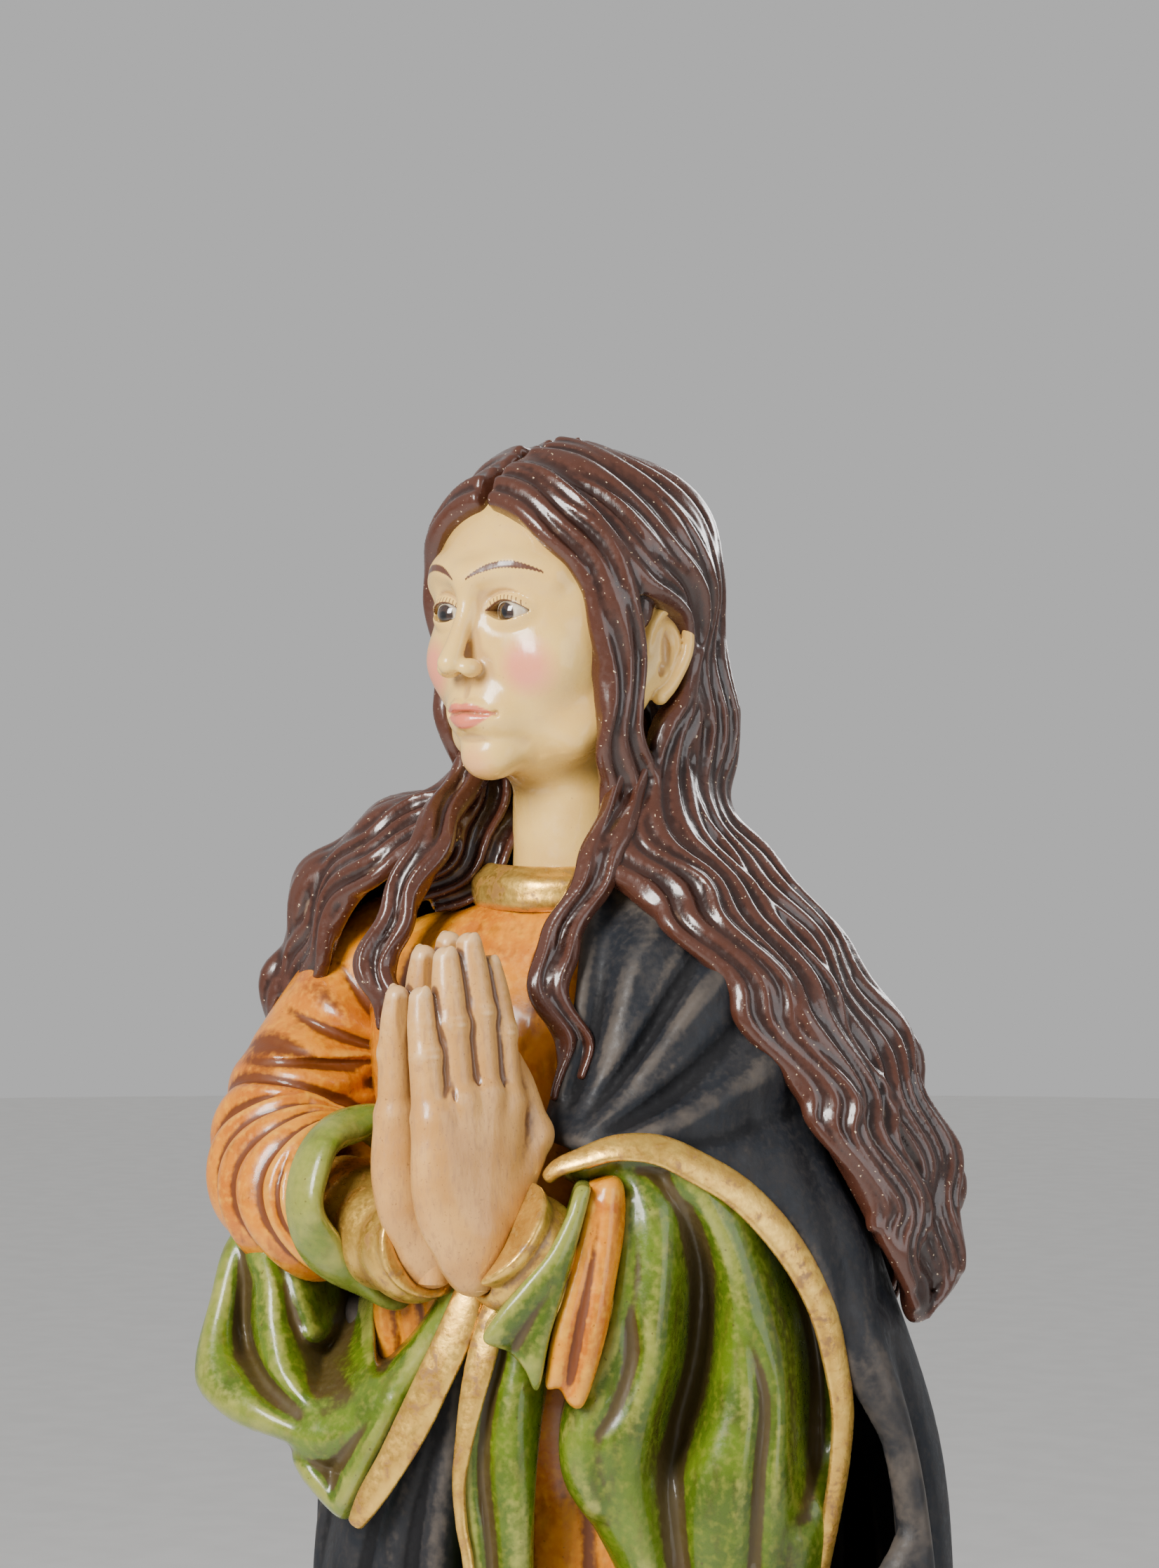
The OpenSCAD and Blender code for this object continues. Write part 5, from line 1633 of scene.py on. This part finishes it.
def mantle_field():
    f = Field((-150, -112, 62), (172, 132, 826), 2.0)
    f.add(body(MANTLE_FORM, mantle_folds))
    elbow = seen([(46, 30, 776), (50, 42, 736), (38, 64, 712), (18, 80, 707)])
    f.add(rope(elbow, (26, 32, 27, 19), 12), 18)
    f.add(rope(seen([(40, 68, 704), (66, 60, 690), (90, 48, 664)]), (24, 30, 32), 8), 14)
    ridge = seen([(128, 54, 640), (128, 48, 600), (128, 46, 560), (133, 44, 500), (140, 38, 430)])
    f.add(rope(ridge, (5.5 * 0.6, 5.5, 5.5, 5.5, 5.5 * 0.6), 14), 8)
    f.shift((-30, -140, 640), (150, 60, 830), gathered)
    inner = [(z, x, y, wide - 14, deep - 14) for z, x, y, wide, deep in MANTLE_FORM]
    inner[0] = (50, *inner[0][1:])
    f.cut(body(inner, mantle_folds), 2)
    f.cut(whole(mantle_open), 8)
    f.cut(whole(lambda x, y, z: 0.45 * (806 + 1.75 * (x + 6) - z) + 0 * y), 4)
    f.cut(rope([(0, 2, 800), (0, 2, 840)], 36), 2)
    f.add(drape(HIP_OUTLINE, HIP_RIDGES, base=30, back=8, k=2.5, fall=3), 3)
    f.blur()
    return f


def make_mantle():
    f = mantle_field()
    everything = f.d
    f.d = everything.copy()
    f.cut(whole(lambda x, y, z: wedge_behind(x, y, z) - 0.3))
    carve("mantle", f, MANTLE, ("mantle_shoulder", "mantle_left_side", "mantle_right_side"), 5.0)
    f.d = everything
    f.keep(lambda x, y, z: wedge_behind(x, y, z) + 0.3)
    carve("back_board", f, MANTLE, ("back_cover",), 5.0)


# ---------------------------------------------------------------- plinth and collar

PLINTH_SIZE = (300.0, 260.0, 22.0)      # across, front to back, and the cut at its corners


def chamfered(half_x, half_y, cut):
    """A rectangle with cut and slightly rounded corners in plan, as a distance from its outline."""
    def distance(x, y):
        qx, qy = np.abs(x) - half_x, np.abs(y) - half_y
        corner = (qx + qy + cut) / math.sqrt(2)
        return -smin(-np.maximum(qx, qy), -corner, 5.0)
    return distance


def moulding(name, low, high, profile, material, node, seed):
    """A moulded board of the plinth: profile(z) is how far its face stands in from the plinth's outline."""
    wide, deep, cut = PLINTH_SIZE
    outline = chamfered(wide / 2, deep / 2, cut)
    f = Field((-154, -134, low - 4), (154, 134, high + 4), 1.6)
    inset = lambda z: np.interp(z, *np.array(profile).T)

    def distance(x, y, z):
        worn = 0.35 * np.sin(x / 23 + seed) * np.sin(y / 19 + z / 7)
        wall = outline(x, y) + inset(z).astype(np.float32) + worn
        lid = np.maximum(z - high, low - z)
        return -smin(-wall, -lid - 0 * wall, 1.5)
    f.add((np.array((-154, -134, low - 4.0)), np.array((154, 134, high + 4.0)), distance))
    f.blur()
    carve(name, f, material, (node,), 4.0)


def make_plinth():
    foot = [(0, 3), (11, 3), (13, 5), (15, 6), (18, 12)]
    moulding("plinth_base_moulding", 0.2, 18.0, foot, PLINTH, "plinth_foot", 1)
    cove = [(18, 12), (20, 15), (26, 20), (36, 22), (44, 19), (49, 14)]
    moulding("plinth_cove", 18.2, 49.0, cove, PLINTH, "plinth_die", 2)
    roll = [(49, 12)] + [(49.5 + 12 * t, 8 + 6 * (2 * t - 1) ** 2) for t in np.linspace(0, 1, 9)]
    moulding("plinth_gilt_roll", 49.2, 61.8, roll, GILT, "plinth_top", 3)


def make_collar():
    """The rolled gilded collar, softly dented, with a fine groove under its roll."""
    f = Field((-46, -44, 802), (46, 48, 832), 0.8)
    ring = np.linspace(0, 2 * math.pi, 49)
    for radius, height, thick in ((33.5, 815.0, 5.6), (34.5, 809.5, 4.6), (30.0, 819.5, 4.2)):
        wave = 0.5 * np.sin(3 * ring + height) + 0.35 * np.sin(7 * ring)
        path = np.stack([(radius + wave) * np.cos(ring), 2 + (radius + wave) * np.sin(ring),
                         height + 0.6 * np.sin(2 * ring + 1)], -1)
        f.add(rope(path, thick), 2.5)
    f.cut(rope([(0, 2, 800), (0, 2, 840)], 25.3), 1)
    f.blur()
    carve("collar_rolled", f, GILT, ("collar",), 3.0)


# ---------------------------------------------------------------- floor, light and camera

VIEW_Z = 857.0                  # height of the camera, level with the shoulders
VIEW_FAR = 1600.0               # from the camera to the figure's axis
VIEW_RIGHT = 7.2                # the camera stands this far to the right of the axis
VIEW_TALL = 655.0               # height of what the camera takes in at the axis


def make_stage():
    """A round pale floor, far wider than what the camera takes in."""
    sides = 64
    turns = [2 * math.pi * i / sides for i in range(sides)]
    points = [(r * math.cos(a), r * math.sin(a), 0.0) for r in (0.6, 1.5, 4.0, 9.0) for a in turns]
    faces = [tuple(range(sides))]
    for j in range(3):
        faces += [((j + 1) * sides + i, (j + 1) * sides + (i + 1) % sides, j * sides + (i + 1) % sides,
                   j * sides + i) for i in range(sides)]
    floor = bpy.data.meshes.new("floor")
    floor.from_pydata(points, [], faces)
    p = Paint("floor_pale", 0.7)
    shade = p.mix(p.ramp(p.noise(60, 3.0), 0.3, 0.7), (0.88, 0.87, 0.85), (0.84, 0.83, 0.81))
    floor.materials.append(p.done(shade))
    thing = bpy.data.objects.new("floor", floor)
    thing.location.z = -0.0005
    bpy.context.scene.collection.objects.link(thing)


def make_lamp(name, place, target, size, power, colour=(1, 1, 1)):
    light = bpy.data.lights.new(name, "AREA")
    light.shape = "RECTANGLE"
    light.size, light.size_y = size
    light.energy = power
    light.color = colour
    lamp = bpy.data.objects.new(name, light)
    place, target = seen(place) * MM, seen(target) * MM
    lamp.location = place
    lamp.rotation_euler = Vector(target - place).to_track_quat("-Z", "Y").to_euler()
    bpy.context.scene.collection.objects.link(lamp)


def make_lights():
    make_lamp("key", (-900, 1300, 1500), (0, 0, 800), (0.6, 0.8), 66, (1.0, 0.97, 0.93))
    make_lamp("fill", (1300, 900, 1000), (0, 0, 780), (1.0, 1.4), 12, (0.95, 0.97, 1.0))
    make_lamp("rim", (700, -900, 1500), (0, 0, 850), (0.6, 0.9), 16)
    world = bpy.data.worlds.new("studio")
    world.use_nodes = True
    shade = world.node_tree.nodes["Background"]
    shade.inputs["Color"].default_value = (0.92, 0.92, 0.92, 1)
    shade.inputs["Strength"].default_value = 0.56
    bpy.context.scene.world = world


def make_camera():
    data = bpy.data.cameras.new("camera")
    data.sensor_width = 36
    data.lens = 36 * VIEW_FAR / VIEW_TALL
    camera = bpy.data.objects.new("camera", data)
    camera.location = seen((VIEW_RIGHT, VIEW_FAR, VIEW_Z)) * MM
    camera.rotation_euler = (math.pi / 2, 0, VIEW_TURN)
    bpy.context.scene.collection.objects.link(camera)
    bpy.context.scene.camera = camera


def finish_cad_nodes():
    """Gives every CAD piece that stays in view, or hidden inside, its real material."""
    finish = {"plinth_foot": PLINTH, "plinth_die": PLINTH, "plinth_top": GILT, "collar": GILT,
              "plinth_screws": STEEL, "back_cover_screws": BRASS, "left_eye_putty": PUTTY,
              "right_eye_putty": PUTTY, "left_wrist_peg": HAND, "right_wrist_peg": HAND,
              "hair_dowels": HAIR}
    for name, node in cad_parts.items():
        node.data.materials.clear()
        node.data.materials.append(finish.get(name, WOOD))


make_camera()
make_stage()
make_lights()
finish_cad_nodes()
make_plinth()
make_collar()
make_face()
make_eye(LEFT, "left_eye")
make_eye(RIGHT, "right_eye")
make_hair()
make_tunic()
make_right_sleeve()
make_left_sleeve()
make_cuffs()
make_undersleeves()
make_hands()
make_mantle()
make_turnback()
make_swag()
make_front_fall()
